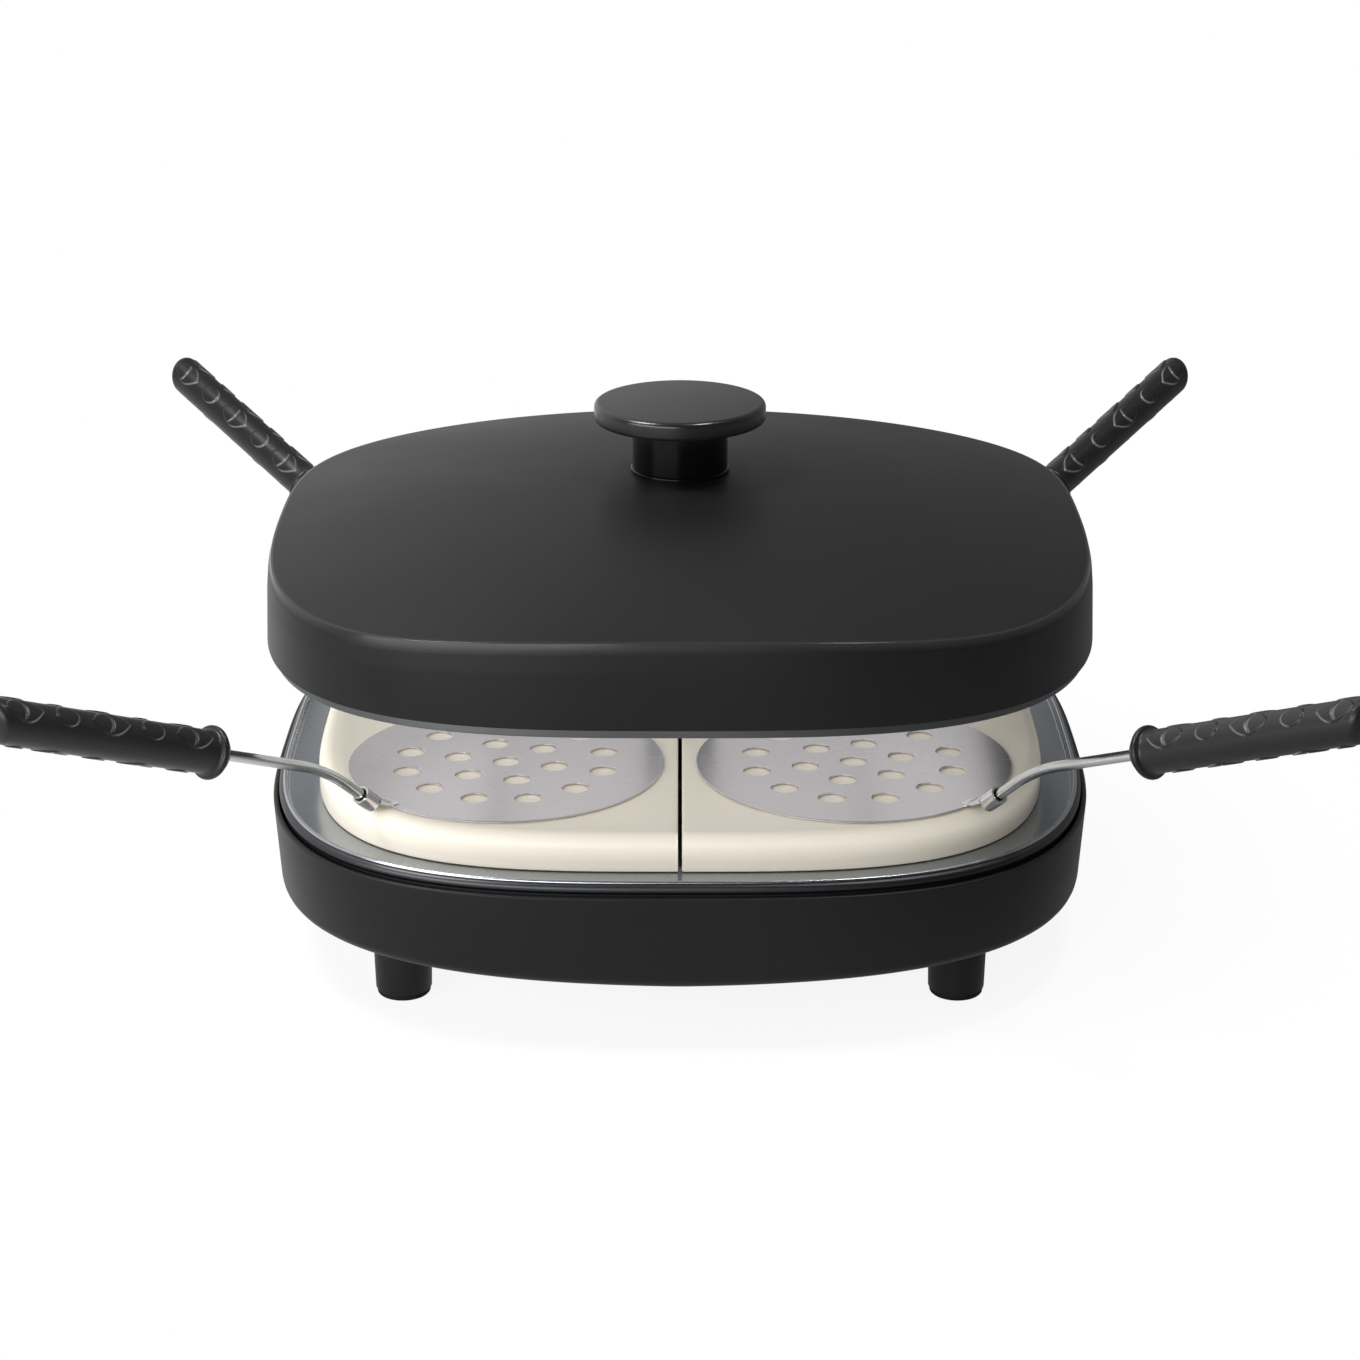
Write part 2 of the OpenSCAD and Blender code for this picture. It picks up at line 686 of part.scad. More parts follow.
module switch_housing() {
    hollow = [housing.x - 2*housing_wall, housing.y - 3, housing.z - 2*housing_wall];
    color("#1d1d1e") translate([port_x, port_y, port_z]) difference() {
        union() {
            translate([-bezel.x/2, 0, -bezel.z/2]) cube(bezel);
            translate([-housing.x/2, -housing.y, -housing.z/2]) cube(housing);
        }
        translate([-hollow.x/2, -hollow.y, -hollow.z/2]) cube([hollow.x, hollow.y + bezel.y + cut, hollow.z]);
        translate([0, -pivot_in, -hollow.z/2 - pin_end - pin_fit])
            cylinder(r = pin_r + pin_fit, h = hollow.z + 2*pin_end + 2*pin_fit);
    }
}

module switch_rocker() {
    tall = housing.z - 2*housing_wall - 0.6;
    ear = 3.4;
    color("#111112") translate([port_x, port_y - pivot_in, port_z]) rotate(-rocker_swing/2) {
        translate([0, 0, -tall/2]) linear_extrude(tall)
            polygon([[-rocker_l/2, ear], [-rocker_l/2, ear - 2.6], [-2.4, -3], [2.4, -3],
                [rocker_l/2, ear - 2.6], [rocker_l/2, ear], [0, ear - 1.2]]);
        translate([0, 0, -tall/2 - pin_end - 0.3]) cylinder(r = pin_r, h = tall + 2*pin_end + 0.6);
    }
}

// Baking plates

// The left plate's outline: its half of the squarish plan, then back along the slit round the column
function plate_ring(inset, z) =
    let (half = 36, steps = 12, slit = plate_slit/2, r = column_d/2 + column_gap, skip = asin(slit/r))
    concat(
        [for (k = [0:half])
            let (p = plan(plate_w/2 - inset, plate_d/2 - inset, 90 + 180*k/half, plate_n))
            [min(p.x, -slit), p.y, z]],
        [for (k = [0:steps])
            let (t = 270 - skip - (180 - 2*skip)*k/steps)
            [k == 0 || k == steps ? -slit : r*cos(t), r*sin(t), z]]);

module plate_left() {
    foot_bevel = 0.8;
    section = concat(
        [for (a = [90:-22.5:0]) [plate_edge_r*(1 - cos(a)), plate_top - plate_edge_r*(1 - sin(a))]],
        [[0, plate_z + foot_bevel], [foot_bevel, plate_z]]);
    color("#e6dfd0") ring_stack([for (s = section) plate_ring(s[0], s[1])]);
}

module plate_right() {
    mirror([1, 0, 0]) plate_left();
}

// Spatulas

neck_tan = tan(neck_rise);
grip_tan = tan(grip_rise);
sleeve_r = rod_d/2 + 1.5;
sleeve_out = blade_d/2 + 5.5;
sleeve_len = 8;
bend_x = blade_d/2 + bend_out;
grip_x = blade_d/2 + grip_out;
tongue_in = blade_d/2 - 7;
tongue_out = sleeve_out + 2.6;
grip_at = [grip_x, blade_top + bend_up + (grip_x - bend_x)*grip_tan];
bend_at = [bend_x, blade_top + bend_up];
sleeve_at = [sleeve_out, bend_at.y - (bend_x - sleeve_out)*neck_tan];
rod_start = sleeve_at + 1.4*[cos(neck_rise), sin(neck_rise)];
grip_hold = 45;

module blade(c) {
    color("#c9c6c6") at_blade(c) translate([0, 0, blade_z]) difference() {
        cylinder(d = blade_d, h = blade_t);
        translate([0, 0, -cut]) {
            cylinder(d = hole_d, h = blade_t + 2*cut);
            for (ring = [1, 2], i = [0:6*ring - 1]) rotate(60*i/ring) translate([ring*hole_ring, 0, 0])
                cylinder(d = hole_d, h = blade_t + 2*cut);
        }
    }
}

module ferrule(c) {
    tongue_t = 1;
    tongue_w = 8;
    mouth_deep = 3;
    mouth_wall = 0.7;
    color("#bdbdbf") at_blade(c) difference() {
        union() {
            translate([0, 0, blade_top]) linear_extrude(tongue_t)
                polygon([[tongue_in, -tongue_w/2], [tongue_in + 4, -tongue_w/2], [tongue_out, -sleeve_r*0.8],
                    [tongue_out, sleeve_r*0.8], [tongue_in + 4, tongue_w/2], [tongue_in, tongue_w/2]]);
            translate([sleeve_at.x, 0, sleeve_at.y]) rotate([0, 90 - neck_rise, 0])
                cylinder(r = sleeve_r, h = sleeve_len);
        }
        translate([sleeve_at.x, 0, sleeve_at.y]) rotate([0, 90 - neck_rise, 0]) translate([0, 0, 1.2])
            cylinder(r = rod_d/2 + rod_fit, h = sleeve_len);
        // The mouth is opened wide round the rod
        translate([sleeve_at.x, 0, sleeve_at.y]) rotate([0, 90 - neck_rise, 0])
            translate([0, 0, sleeve_len - mouth_deep]) cylinder(r = sleeve_r - mouth_wall, h = sleeve_len);
        // The lower corner of the sleeve is flattened, clear of the plate
        translate([tongue_in, -2*sleeve_r, blade_z - 2*sleeve_r + 0.2]) cube([blade_d, 4*sleeve_r, 2*sleeve_r]);
    }
}

module rod(c) {
    steps = 6;
    turn = neck_rise - grip_rise;
    trim = bend_r*tan(turn/2);
    centre = bend_at - trim*[cos(neck_rise), sin(neck_rise)] + bend_r*[sin(neck_rise), -cos(neck_rise)];
    bend = [for (k = [0:steps])
        let (a = neck_rise - turn*k/steps) centre + bend_r*[-sin(a), cos(a)]];
    end = grip_at + (grip_hold - 1)*[cos(grip_rise), sin(grip_rise)];
    path = concat([rod_start], bend, [end]);
    color("#c4c4c6") at_blade(c) swept_tube([for (p = path) [p.x, 0, p.y]], rod_d/2, 16);
}

module grip(c) {
    r = grip_d/2;
    collar_r = collar_d/2;
    collar_edge = 1.6;
    end_edge = 5;
    hole_r = rod_d/2 + rod_fit;
    profile = concat(
        [[0, 0]],
        [for (a = [-90:30:90])
            [collar_r - collar_edge + collar_edge*cos(a),
                a < 0 ? collar_edge*(1 + sin(a)) : collar_len - collar_edge*(1 - sin(a))]],
        [[r - 0.5, collar_len + 0.8], [r, collar_len + 4]],
        [for (a = [0:22.5:90]) [r - end_edge + end_edge*cos(a), grip_len - end_edge*(1 - sin(a))]],
        [[0, grip_len]]);
    color("#343434") at_blade(c) translate([grip_at.x, 0, grip_at.y]) rotate([0, 90 - grip_rise, 0])
        difference() {
            rotate_extrude() polygon(profile);
            translate([0, 0, -cut]) cylinder(r = hole_r, h = grip_hold + cut);
            // The outer end stands upright
            translate([0, 0, grip_len - r*tan(grip_rise)]) rotate([0, grip_rise, 0])
                translate([-2*r, -2*r, 0]) cube([4*r, 4*r, 2*r]);
        }
}

// Lid and knob

// A ring of the crown, drawn in from the lid's upper edge and lowered by a thickness
function crown_ring(inset, scale, under) =
    [for (p = plan_points(top_w/2 - inset, top_d/2 - inset))
        let (q = p*scale) [q.x, q.y, crown_at(q) - under]];

module lid_shell() {
    hole = knob_screw_r + 0.7;
    e = lid_edge_r;
    rise = [for (p = plan_points(top_w/2, top_d/2)) crown_at(p)];
    side = [for (a = [0:30:60])
        let (flat = plan_points(top_w/2 - e*(1 - cos(a)), top_d/2 - e*(1 - cos(a))))
        [for (i = [0:sides - 1]) [flat[i].x, flat[i].y, rise[i] - (e - 0.5)*(1 - sin(a))]]];
    inner = plan_points(top_w/2 - lid_t - 0.6, top_d/2 - lid_t - 0.6);
    color("#2e2e2f") ring_shell(concat(
        [level(round_points(hole), flat_z), level(round_points(flat_r), flat_z)],
        [for (s = [0.32:0.17:1]) crown_ring(e, s, 0)],
        [for (k = [2:-1:0]) side[k]],
        [level(lid_points(0), lid_z), level(lid_points(lid_t), lid_z)],
        [[for (i = [0:sides - 1]) [inner[i].x, inner[i].y, rise[i] - e - 0.6]]],
        [for (s = [1, 0.66, 0.32]) crown_ring(e + 1, s, lid_t)],
        [level(round_points(flat_r), flat_z - lid_t), level(round_points(hole), flat_z - lid_t)]));
}

module lid_liner() {
    hole = column_d/2 + liner_hole_gap;
    gap = lid_t + liner_gap;
    rim = lid_z - liner_drop;
    // Rows of inset and height of the outer face, and the way across the sheet at each
    outer = [
        [gap, rim], [gap + liner_lean, lid_z + liner_wall_h],
        [gap + liner_knee_in, lid_z + liner_knee_h], [gap + liner_turn_in, liner_z + sheet]];
    way = [[1, 0], [1, -0.25], [0.75, -0.9], [0.4, -1]];
    inner = outer + sheet*way;
    color("#85888c") ring_shell(concat(
        [level(round_points(hole), liner_z + sheet)],
        [for (k = [3:-1:0]) level(lid_points(outer[k][0]), outer[k][1])],
        [for (k = [0:3]) level(lid_points(inner[k][0]), inner[k][1])],
        [level(round_points(hole), liner_z)]));
}

module lid_socket() {
    bore_r = column_d/2 + socket_gap;
    head_r = 2*knob_screw_r + screw_fit;
    head_h = 1.1*knob_screw_r + head_room;
    foot_z = liner_z + sheet;
    color("#6d7073") difference() {
        translate([0, 0, foot_z]) {
            cylinder(r = bore_r + socket_flange, h = socket_flange_t);
            cylinder(r = bore_r + socket_wall, h = flat_z - lid_t - foot_z);
        }
        translate([0, 0, liner_z]) cylinder(r = bore_r, h = seat_z - liner_z);
        translate([0, 0, seat_z - cut]) cylinder(r = head_r, h = head_h + cut);
        translate([0, 0, seat_z]) cylinder(r = knob_screw_r + screw_fit, h = roof_t + cut);
    }
}

module knob_ring() {
    color("#1b1b1c") translate([0, 0, flat_z]) difference() {
        cylinder(d = stem_d + 1.4, h = ring_h);
        translate([0, 0, -cut]) cylinder(r = knob_screw_r + screw_fit, h = ring_h + 2*cut);
    }
}

module knob_stem() {
    color("#171718") translate([0, 0, stem_z]) difference() {
        cylinder(d = stem_d, h = stem_h);
        translate([0, 0, -cut]) cylinder(r = knob_screw_r + rod_fit, h = stem_h - 3 + cut);
    }
}

module knob_cap() {
    r = knob_d/2;
    e = knob_edge_r;
    color("#242425") translate([0, 0, cap_z]) rotate_extrude() polygon(concat(
        [[0, 0]],
        [for (a = [-90:22.5:90])
            [r - e + e*cos(a), a < 0 ? e*(1 + sin(a)) : knob_t - e*(1 - sin(a))]],
        [[0, knob_t]]));
}

module knob_screw() {
    head_z = seat_z + 1.1*knob_screw_r + head_room;
    color("silver") translate([0, 0, head_z]) screw(knob_screw_r, stem_z + stem_h - 5 - head_z);
}

base_shell();
bottom_plate();
bottom_screws();
foot_screws();
tray();
tray_posts();
post_screws();
lower_reflector();
lower_element();
lower_clips();
column_tube();
column_foot();
column_screws();
column_cap();
reflector_collar();
upper_reflector();
upper_element();
upper_clips();
terminal_block();
thermal_cutout();
wires_lower();
wires_column();
wires_supply();
cord_gland();
gland_nut();
switch_housing();
switch_rocker();
plate_left();
plate_right();
lid_shell();
lid_liner();
lid_socket();
knob_ring();
knob_stem();
knob_cap();
knob_screw();
for (c = corners) {
    foot(c);
    pad(c);
    blade(c);
    ferrule(c);
    rod(c);
    grip(c);
}
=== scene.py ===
import json
import math

import bmesh
import bpy
import numpy as np
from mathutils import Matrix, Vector


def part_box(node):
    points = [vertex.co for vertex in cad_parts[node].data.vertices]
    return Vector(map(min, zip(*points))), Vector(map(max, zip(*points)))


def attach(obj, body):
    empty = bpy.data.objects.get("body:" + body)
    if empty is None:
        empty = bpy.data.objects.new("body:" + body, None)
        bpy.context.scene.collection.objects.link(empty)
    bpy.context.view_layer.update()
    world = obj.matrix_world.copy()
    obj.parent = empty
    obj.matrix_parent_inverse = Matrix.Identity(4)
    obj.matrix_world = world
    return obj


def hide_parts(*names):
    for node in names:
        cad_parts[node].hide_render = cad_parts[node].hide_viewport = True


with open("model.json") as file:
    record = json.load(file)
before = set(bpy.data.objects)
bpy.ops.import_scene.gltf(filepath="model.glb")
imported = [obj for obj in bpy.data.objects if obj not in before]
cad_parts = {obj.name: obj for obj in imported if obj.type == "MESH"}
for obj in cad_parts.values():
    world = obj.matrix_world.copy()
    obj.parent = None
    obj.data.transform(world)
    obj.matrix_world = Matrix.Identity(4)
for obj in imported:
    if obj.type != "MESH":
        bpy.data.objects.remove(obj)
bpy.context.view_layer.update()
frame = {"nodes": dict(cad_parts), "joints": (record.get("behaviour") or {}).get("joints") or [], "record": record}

MM = 0.001
UP = Vector((0, 0, 1))
REARWARDS = Vector((0, 1, 0))
CORNERS = ("front_left", "front_right", "back_left", "back_right")
slot_of = {s["node"]: s["material_slot"] for s in frame["record"]["subparts"]}
bodies = frame["record"]["behaviour"]["bodies"]
body_of = {node: body for body, nodes in bodies.items() for node in nodes}
joint_of = {joint["child"]: joint for joint in frame["joints"]}

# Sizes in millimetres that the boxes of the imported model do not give; an inset runs inwards from an outline

# Outlines: powers of a squarish oval, points on a full turn, and the angle in degrees that stays a sharp edge
SQUARENESS = 3.12
PLATE_SQUARENESS = 3.33
OUTLINE_POINTS = 256
CREASE = 32
# Radius at which a turned form closes at its axis
AXIS_R = 0.2

# Lid: how far its side leans out from top to bottom, its side's height and its crown's
LID_LEAN_W = 1.2
LID_LEAN_D = 1.85
LID_SIDE = 32.5
LID_CROWN = 18.1
CROWN_POWER = 0.89
LID_SHEET = 1.6

# Base: draft of the side, wall, and the lower edge that rises towards the corners
BASE_DRAFT = 1.8
BASE_WALL = 2.0
BASE_EDGE_R = 5.5
BASE_EDGE_LIFT = 1.2
BASE_EDGE_RISE = 12.4
RISE_POWER = 0.7

# Tray: dark roll, bright ridge, flange, and the sheet that liner and reflector share
ROLL_IN = 4.4
ROLL_R = 2.1
ROLL_DOWN = 1.0
RIDGE_IN = 4.7
RIDGE_R = 0.9
FLANGE_DOWN = 3.0
FLANGE_W = 26.0
SHEET = 0.8

# Baking plates: round outer edge, and the bay that clears the column
PLATE_EDGE_R = 5.5
COLUMN_CLEAR = 16.5

# Rear fittings: play in the base's holes, gland, switch housing (half its width and height) and rocker
PORT_FIT = 0.25
GLAND_BORE_R = 3.6
GLAND_SLEEVE_R = 6.0
GLAND_FLANGE = 3.0
HOUSING_W = 11.0
HOUSING_H = 7.0
HOUSING_WALL = 1.6
BEZEL_DEEP = 2.0
RECESS_DEEP = 13.0
ROCKER_L = 16.4
ROCKER_PLAY = 0.6

# Upper heater: radius of its tube, and its legs' distance from the middle
ELEMENT_R = 3.3
LEG_X = 14.0

# Spatulas: places outwards from the blade's middle and up from its top, the rod's bend and slopes, the grip
HOLE_R = 5.0
HOLE_RINGS = ((0, 1), (19.15, 6), (38.3, 12))
SLEEVE_OUT = 65.5
SLEEVE_L = 8.0
SLEEVE_R = 3.1
ROD_R = 2.0
ROD_START = 1.4
ROD_IN_GRIP = 20
BEND_OUT = 87.2
BEND_UP = 20.8
BEND_R = 70.0
RISE_IN = math.radians(42)
RISE_OUT = math.radians(22.3)
GRIP_OUT = 133.6
GRIP_L = 101.5
GRIP_R = 8.2
RELIEF = 0.45
COLLAR_R = 9.6
SLEEVE_UP = BEND_UP - (BEND_OUT - SLEEVE_OUT)*math.tan(RISE_IN)
GRIP_UP = BEND_UP + (GRIP_OUT - BEND_OUT)*math.tan(RISE_OUT)


# Tools for lines and skins

def box_mm(node):
    """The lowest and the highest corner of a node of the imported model, in millimetres."""
    low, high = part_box(node)
    return low/MM, high/MM


def spread(first, last, count):
    """Evenly spaced values from the first to the last."""
    return [first + (last - first)*i/(count - 1) for i in range(count)]


def turns(count):
    """Evenly spaced turns round a full circle, in radians."""
    return [2*math.pi*i/count for i in range(count)]


def plan(half_w, half_d, turn, power=SQUARENESS):
    """The point of the cooker's squarish outline at a turn round the upright axis."""
    c, s = math.cos(turn), math.sin(turn)
    r = (abs(c/half_w)**power + abs(s/half_d)**power)**(-1/power)
    return r*c, r*s


def rounded(corners, closed=False, steps=6):
    """A section line through corners (across, up, radius), each corner turned with its radius."""
    line = []
    for i, (across, up, radius) in enumerate(corners):
        here = Vector((across, up))
        if radius == 0 or (not closed and i in (0, len(corners) - 1)):
            line.append(here)
            continue
        back = Vector(corners[i - 1][:2]) - here
        ahead = Vector(corners[(i + 1) % len(corners)][:2]) - here
        half = back.angle(ahead)/2
        # A radius too big for its corner stops short of the middle of the shorter side
        reach = min(radius/math.tan(half), 0.48*back.length, 0.48*ahead.length)
        inwards = (back.normalized() + ahead.normalized()).normalized()
        middle = here + inwards*(reach/math.cos(half))
        first = here + back.normalized()*reach - middle
        last = here + ahead.normalized()*reach - middle
        turn = first.angle(last)
        for t in spread(0, turn, steps):
            line.append(middle + (first*math.sin(turn - t) + last*math.sin(t))/math.sin(turn))
    return line


def around(section_at):
    """The rings of a form whose section is known at every turn round the upright axis."""
    return list(zip(*(section_at(turn) for turn in turns(OUTLINE_POINTS))))


def skin(rings, closed=False):
    """Points and faces over rings of equal count; a closed skin joins its last ring to its first."""
    count = len(rings[0])
    points = [Vector(p) for ring in rings for p in ring]
    faces = []
    for j in range(len(rings) if closed else len(rings) - 1):
        a = j*count
        b = (j + 1) % len(rings)*count
        faces += [(a + i, a + (i + 1) % count, b + (i + 1) % count, b + i) for i in range(count)]
    if not closed:
        faces += [tuple(range(count)), tuple(range(len(points) - count, len(points)))]
    return points, faces


def turned(profile, foot, axis, count=96):
    """The rings of a turned form: a profile of (radius, along) about an axis through its foot."""
    side = axis.orthogonal().normalized()
    other = axis.cross(side)
    return [[foot + axis*along + (side*math.cos(t) + other*math.sin(t))*radius for t in turns(count)]
            for radius, along in profile]


def marked(rows, count):
    """How far each point of a form made by around() takes the rim tone (a painted highlight on the lid's edge, the
    dark roll on the tray): wholly in the marked rows, else not.
    """
    return [1.0*(row in rows) for row in range(count) for _ in range(OUTLINE_POINTS)]


def piece(node, points, faces, crease=CREASE, rim=None):
    """A smooth piece that stands for a node, with its body, slot and finish; rim is each point's share of the rim
    tone, which is a painted highlight on the lid's edge and the grips' ridges.
    """
    mesh = bpy.data.meshes.new(node + "_made")
    mesh.from_pydata([p*MM for p in points], [], faces)
    shape = bmesh.new()
    shape.from_mesh(mesh)
    bmesh.ops.recalc_face_normals(shape, faces=shape.faces)
    shape.to_mesh(mesh)
    shape.free()
    mesh.shade_smooth()
    mesh.set_sharp_from_angle(angle=math.radians(crease))
    mesh.materials.append(FINISH[slot_of[node]])
    if rim is not None:
        mesh.attributes.new("rim", "FLOAT", "POINT").data.foreach_set("value", rim)
    made = bpy.data.objects.new(node + "_made", mesh)
    bpy.context.scene.collection.objects.link(made)
    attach(made, body_of[node])
    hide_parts(node)
    return made


def cut_out(made, rings):
    """Cuts the form over the rings out of a piece."""
    points, faces = skin(rings)
    mesh = bpy.data.meshes.new("cutter")
    mesh.from_pydata([p*MM for p in points], [], faces)
    cutter = bpy.data.objects.new("cutter", mesh)
    bpy.context.scene.collection.objects.link(cutter)
    change = made.modifiers.new("cut", "BOOLEAN")
    change.object = cutter
    bpy.context.view_layer.update()
    shaped = bpy.data.meshes.new_from_object(made.evaluated_get(bpy.context.evaluated_depsgraph_get()))
    made.modifiers.clear()
    made.data = shaped
    shaped.set_sharp_from_angle(angle=math.radians(CREASE))
    bpy.data.objects.remove(cutter)


# The switch's place at the rear, across and up; the gland is its mirror image
switch_low, switch_high = box_mm("switch_housing")
PORT_X = (switch_low.x + switch_high.x)/2
PORT_Z = (switch_low.z + switch_high.z)/2


# Tools for materials

# Sockets by number where names repeat: the Mix node's share, numbers, colours and mixed colour
SHARE, NUMBER_A, NUMBER_B, COLOUR_A, COLOUR_B = 0, 2, 3, 6, 7
MIXED = 2
# The Map Range node's value, the range it comes from and the range it goes to
VALUE, FROM_LOW, FROM_HIGH, TO_LOW, TO_HIGH = range(5)


def srgb(code):
    """A colour for a shader from its hex code."""
    parts = [int(code[i:i + 2], 16)/255 for i in (1, 3, 5)]
    return [v/12.92 if v <= 0.04045 else ((v + 0.055)/1.055)**2.4 for v in parts] + [1.0]


def add(tree, kind, inputs, **settings):
    """Adds a shader node with its settings, and links or sets its inputs."""
    node = tree.nodes.new(kind)
    for key, value in settings.items():
        setattr(node, key, value)
    for key, value in inputs.items():
        if isinstance(value, bpy.types.NodeSocket):
            tree.links.new(value, node.inputs[key])
        else:
            node.inputs[key].default_value = value
    return node


def surface(name, tones, roughness, cloud, grain, relief, stretch=(1, 1, 1), worn=None, **shader):
    """A material whose tone and roughness drift over clouds and whose relief is a finer grain, sizes in mm.

    Its last option gives the tone and the roughness of marked rims: on the lid's edge and the grips' ridges the
    lighter tone is a painted highlight, on the tray it is the dark roll's own finish.
    """
    material = bpy.data.materials.new(name)
    material.use_nodes = True
    tree = material.node_tree
    tree.nodes.clear()
    place = add(tree, "ShaderNodeTexCoord", {}).outputs["Object"]
    drift = add(tree, "ShaderNodeTexNoise",
                {"Vector": place, "Scale": 1/(cloud*MM), "Detail": 3.0}).outputs[0]
    drawn = add(tree, "ShaderNodeMapping", {"Vector": place, "Scale": stretch}).outputs[0]
    fine = add(tree, "ShaderNodeTexNoise",
               {"Vector": drawn, "Scale": 1/(grain*MM), "Detail": 2.0}).outputs[0]
    both = add(tree, "ShaderNodeMath", {0: drift, 1: fine}, operation="MULTIPLY").outputs[0]
    tone = add(tree, "ShaderNodeMix", {SHARE: drift, COLOUR_A: srgb(tones[0]), COLOUR_B: srgb(tones[1])},
               data_type="RGBA").outputs[MIXED]
    rough = add(tree, "ShaderNodeMapRange", {VALUE: both, FROM_LOW: 0.1, FROM_HIGH: 0.45,
                                             TO_LOW: roughness[0], TO_HIGH: roughness[1]}).outputs[0]
    bump = add(tree, "ShaderNodeBump", {"Height": fine, "Strength": 1.0, "Distance": relief*MM}).outputs[0]
    if worn:
        # Marked rims take the rim tone; on the lid's edge and the grips' ridges it is a painted highlight
        rim = add(tree, "ShaderNodeAttribute", {}, attribute_name="rim").outputs["Fac"]
        tone = add(tree, "ShaderNodeMix", {SHARE: rim, COLOUR_A: tone, COLOUR_B: srgb(worn[0])},
                   data_type="RGBA").outputs[MIXED]
        rough = add(tree, "ShaderNodeMix", {SHARE: rim, NUMBER_A: rough, NUMBER_B: worn[1]}).outputs[0]
    principled = add(tree, "ShaderNodeBsdfPrincipled", {
        "Base Color": tone, "Roughness": rough, "Normal": bump, **shader})
    add(tree, "ShaderNodeOutputMaterial", {"Surface": principled.outputs[0]})
    return material


def metal(name, tones, roughness, **sizes):
    """A bare metal."""
    return surface(name, tones, roughness, Metallic=1.0, **sizes)


def dull(name, tones, roughness, specular, **sizes):
    """A coat, stone, plastic or rubber that shines less than glass does."""
    return surface(name, tones, roughness, **sizes, **{"Specular IOR Level": specular})


# Materials

FINISH = {
    # Non-stick coat sprayed on drawn steel: matte charcoal, with an even grain only found from close by; its crisp
    # edge is painted a lighter grey, a painted highlight, and made less rough
    "black_coat": dull("charcoal non-stick coat", ("#131314", "#161616"), (0.38, 0.46), 0.19,
                       cloud=55, grain=0.7, relief=0.006, worn=("#2A2A2B", 0.14)),
    # Pressed stainless left as rolled: soft grey sheen, faint cloudy patches
    "liner_steel": metal("pressed liner steel", ("#5E6062", "#696B6D"), (0.32, 0.42),
                         cloud=30, grain=0.5, relief=0.001),
    # Stainless tray: cool grey, clear but softened reflections, with its rolled rim heat-darkened
    "tray_steel": metal("pressed tray steel", ("#A0A5AB", "#A8ADB3"), (0.25, 0.28),
                        cloud=28, grain=3.0, relief=0.0001, worn=("#454547", 0.4)),
    # Aluminised sheet with a mill finish: pale, slightly mottled
    "sheet_steel": metal("aluminised sheet", ("#C6C8CA", "#D6D8D9"), (0.28, 0.48),
                         cloud=5, grain=0.8, relief=0.002),
    # Turned column steel: tool marks run round it
    "column_steel": metal("turned steel", ("#A5A7A9", "#B9BBBD"), (0.2, 0.36),
                          cloud=16, grain=0.7, relief=0.004, stretch=(0.1, 0.1, 1)),
    # Zinc plate on screws and clips: bright with a warm bloom
    "plated_steel": metal("zinc plate", ("#B7B5AB", "#C9CBCB"), (0.22, 0.42),
                          cloud=4, grain=0.5, relief=0.004),
    # Heater sheath darkened by heat: brown-black with bluish patches
    "heater_sheath": metal("heat-darkened sheath", ("#3A3029", "#44484E"), (0.35, 0.6),
                           cloud=14, grain=0.4, relief=0.01),
    # Baking stone under a satin cream glaze: smooth, with tiny pits
    "baking_stone": dull("cream glazed stone", ("#E6DECE", "#EBE4D6"), (0.34, 0.46), 0.35,
                         cloud=40, grain=0.6, relief=0.004),
    # Rolled stainless of the blades: satin, with faint rolling lines across the cooker
    "blade_steel": metal("rolled blade steel", ("#CDC8CA", "#D3CFD1"), (0.24, 0.29),
                         cloud=26, grain=0.7, relief=0.0001, stretch=(0.04, 1, 1)),
    # Bright drawn wire of the rods: near mirror, with a fine grain
    "rod_steel": metal("bright drawn steel", ("#D2D2D0", "#DADAD8"), (0.16, 0.24),
                       cloud=18, grain=0.4, relief=0.0003),
    # Phenolic grip straight from a polished mould: dark grey, soft sheen; the ridges that face the collar are
    # painted light grey, a painted highlight
    "grip_plastic": dull("phenolic grip", ("#181818", "#1C1C1C"), (0.3, 0.36), 0.3,
                         cloud=20, grain=0.5, relief=0.0006, worn=("#5C5C5C", 0.2)),
    # Phenolic knob cap, satin
    "knob_matte": dull("satin phenolic", ("#131314", "#171718"), (0.2, 0.28), 0.46,
                       cloud=24, grain=0.4, relief=0.001),
    # Polished phenolic of the knob's stem and ring
    "knob_gloss": dull("polished phenolic", ("#070708", "#0A0A0B"), (0.12, 0.2), 0.18,
                       cloud=24, grain=0.6, relief=0.0006),
    # Moulded feet with a spark-eroded grain
    "foot_plastic": dull("moulded foot plastic", ("#121213", "#171718"), (0.4, 0.52), 0.2,
                         cloud=12, grain=0.5, relief=0.012),
    # Rubber pads: dull, dusty
    "foot_rubber": dull("foot rubber", ("#121212", "#1A1A19"), (0.7, 0.9), 0.15,
                        cloud=9, grain=0.4, relief=0.02),
    # Switch and gland, moulded black
    "switch_plastic": dull("moulded black plastic", ("#171718", "#1D1D1E"), (0.32, 0.46), 0.3,
                           cloud=10, grain=0.4, relief=0.008),
    # Steatite of the terminal block: chalky off-white
    "porcelain": surface("steatite", ("#D8D2C2", "#E6E1D4"), (0.55, 0.75),
                         cloud=6, grain=0.4, relief=0.02),
    # Silicone sleeve of the wires
    "wire_sleeve": surface("silicone sleeve", ("#8E2A22", "#A2382E"), (0.5, 0.65),
                           cloud=8, grain=0.4, relief=0.01),
}


# Lid

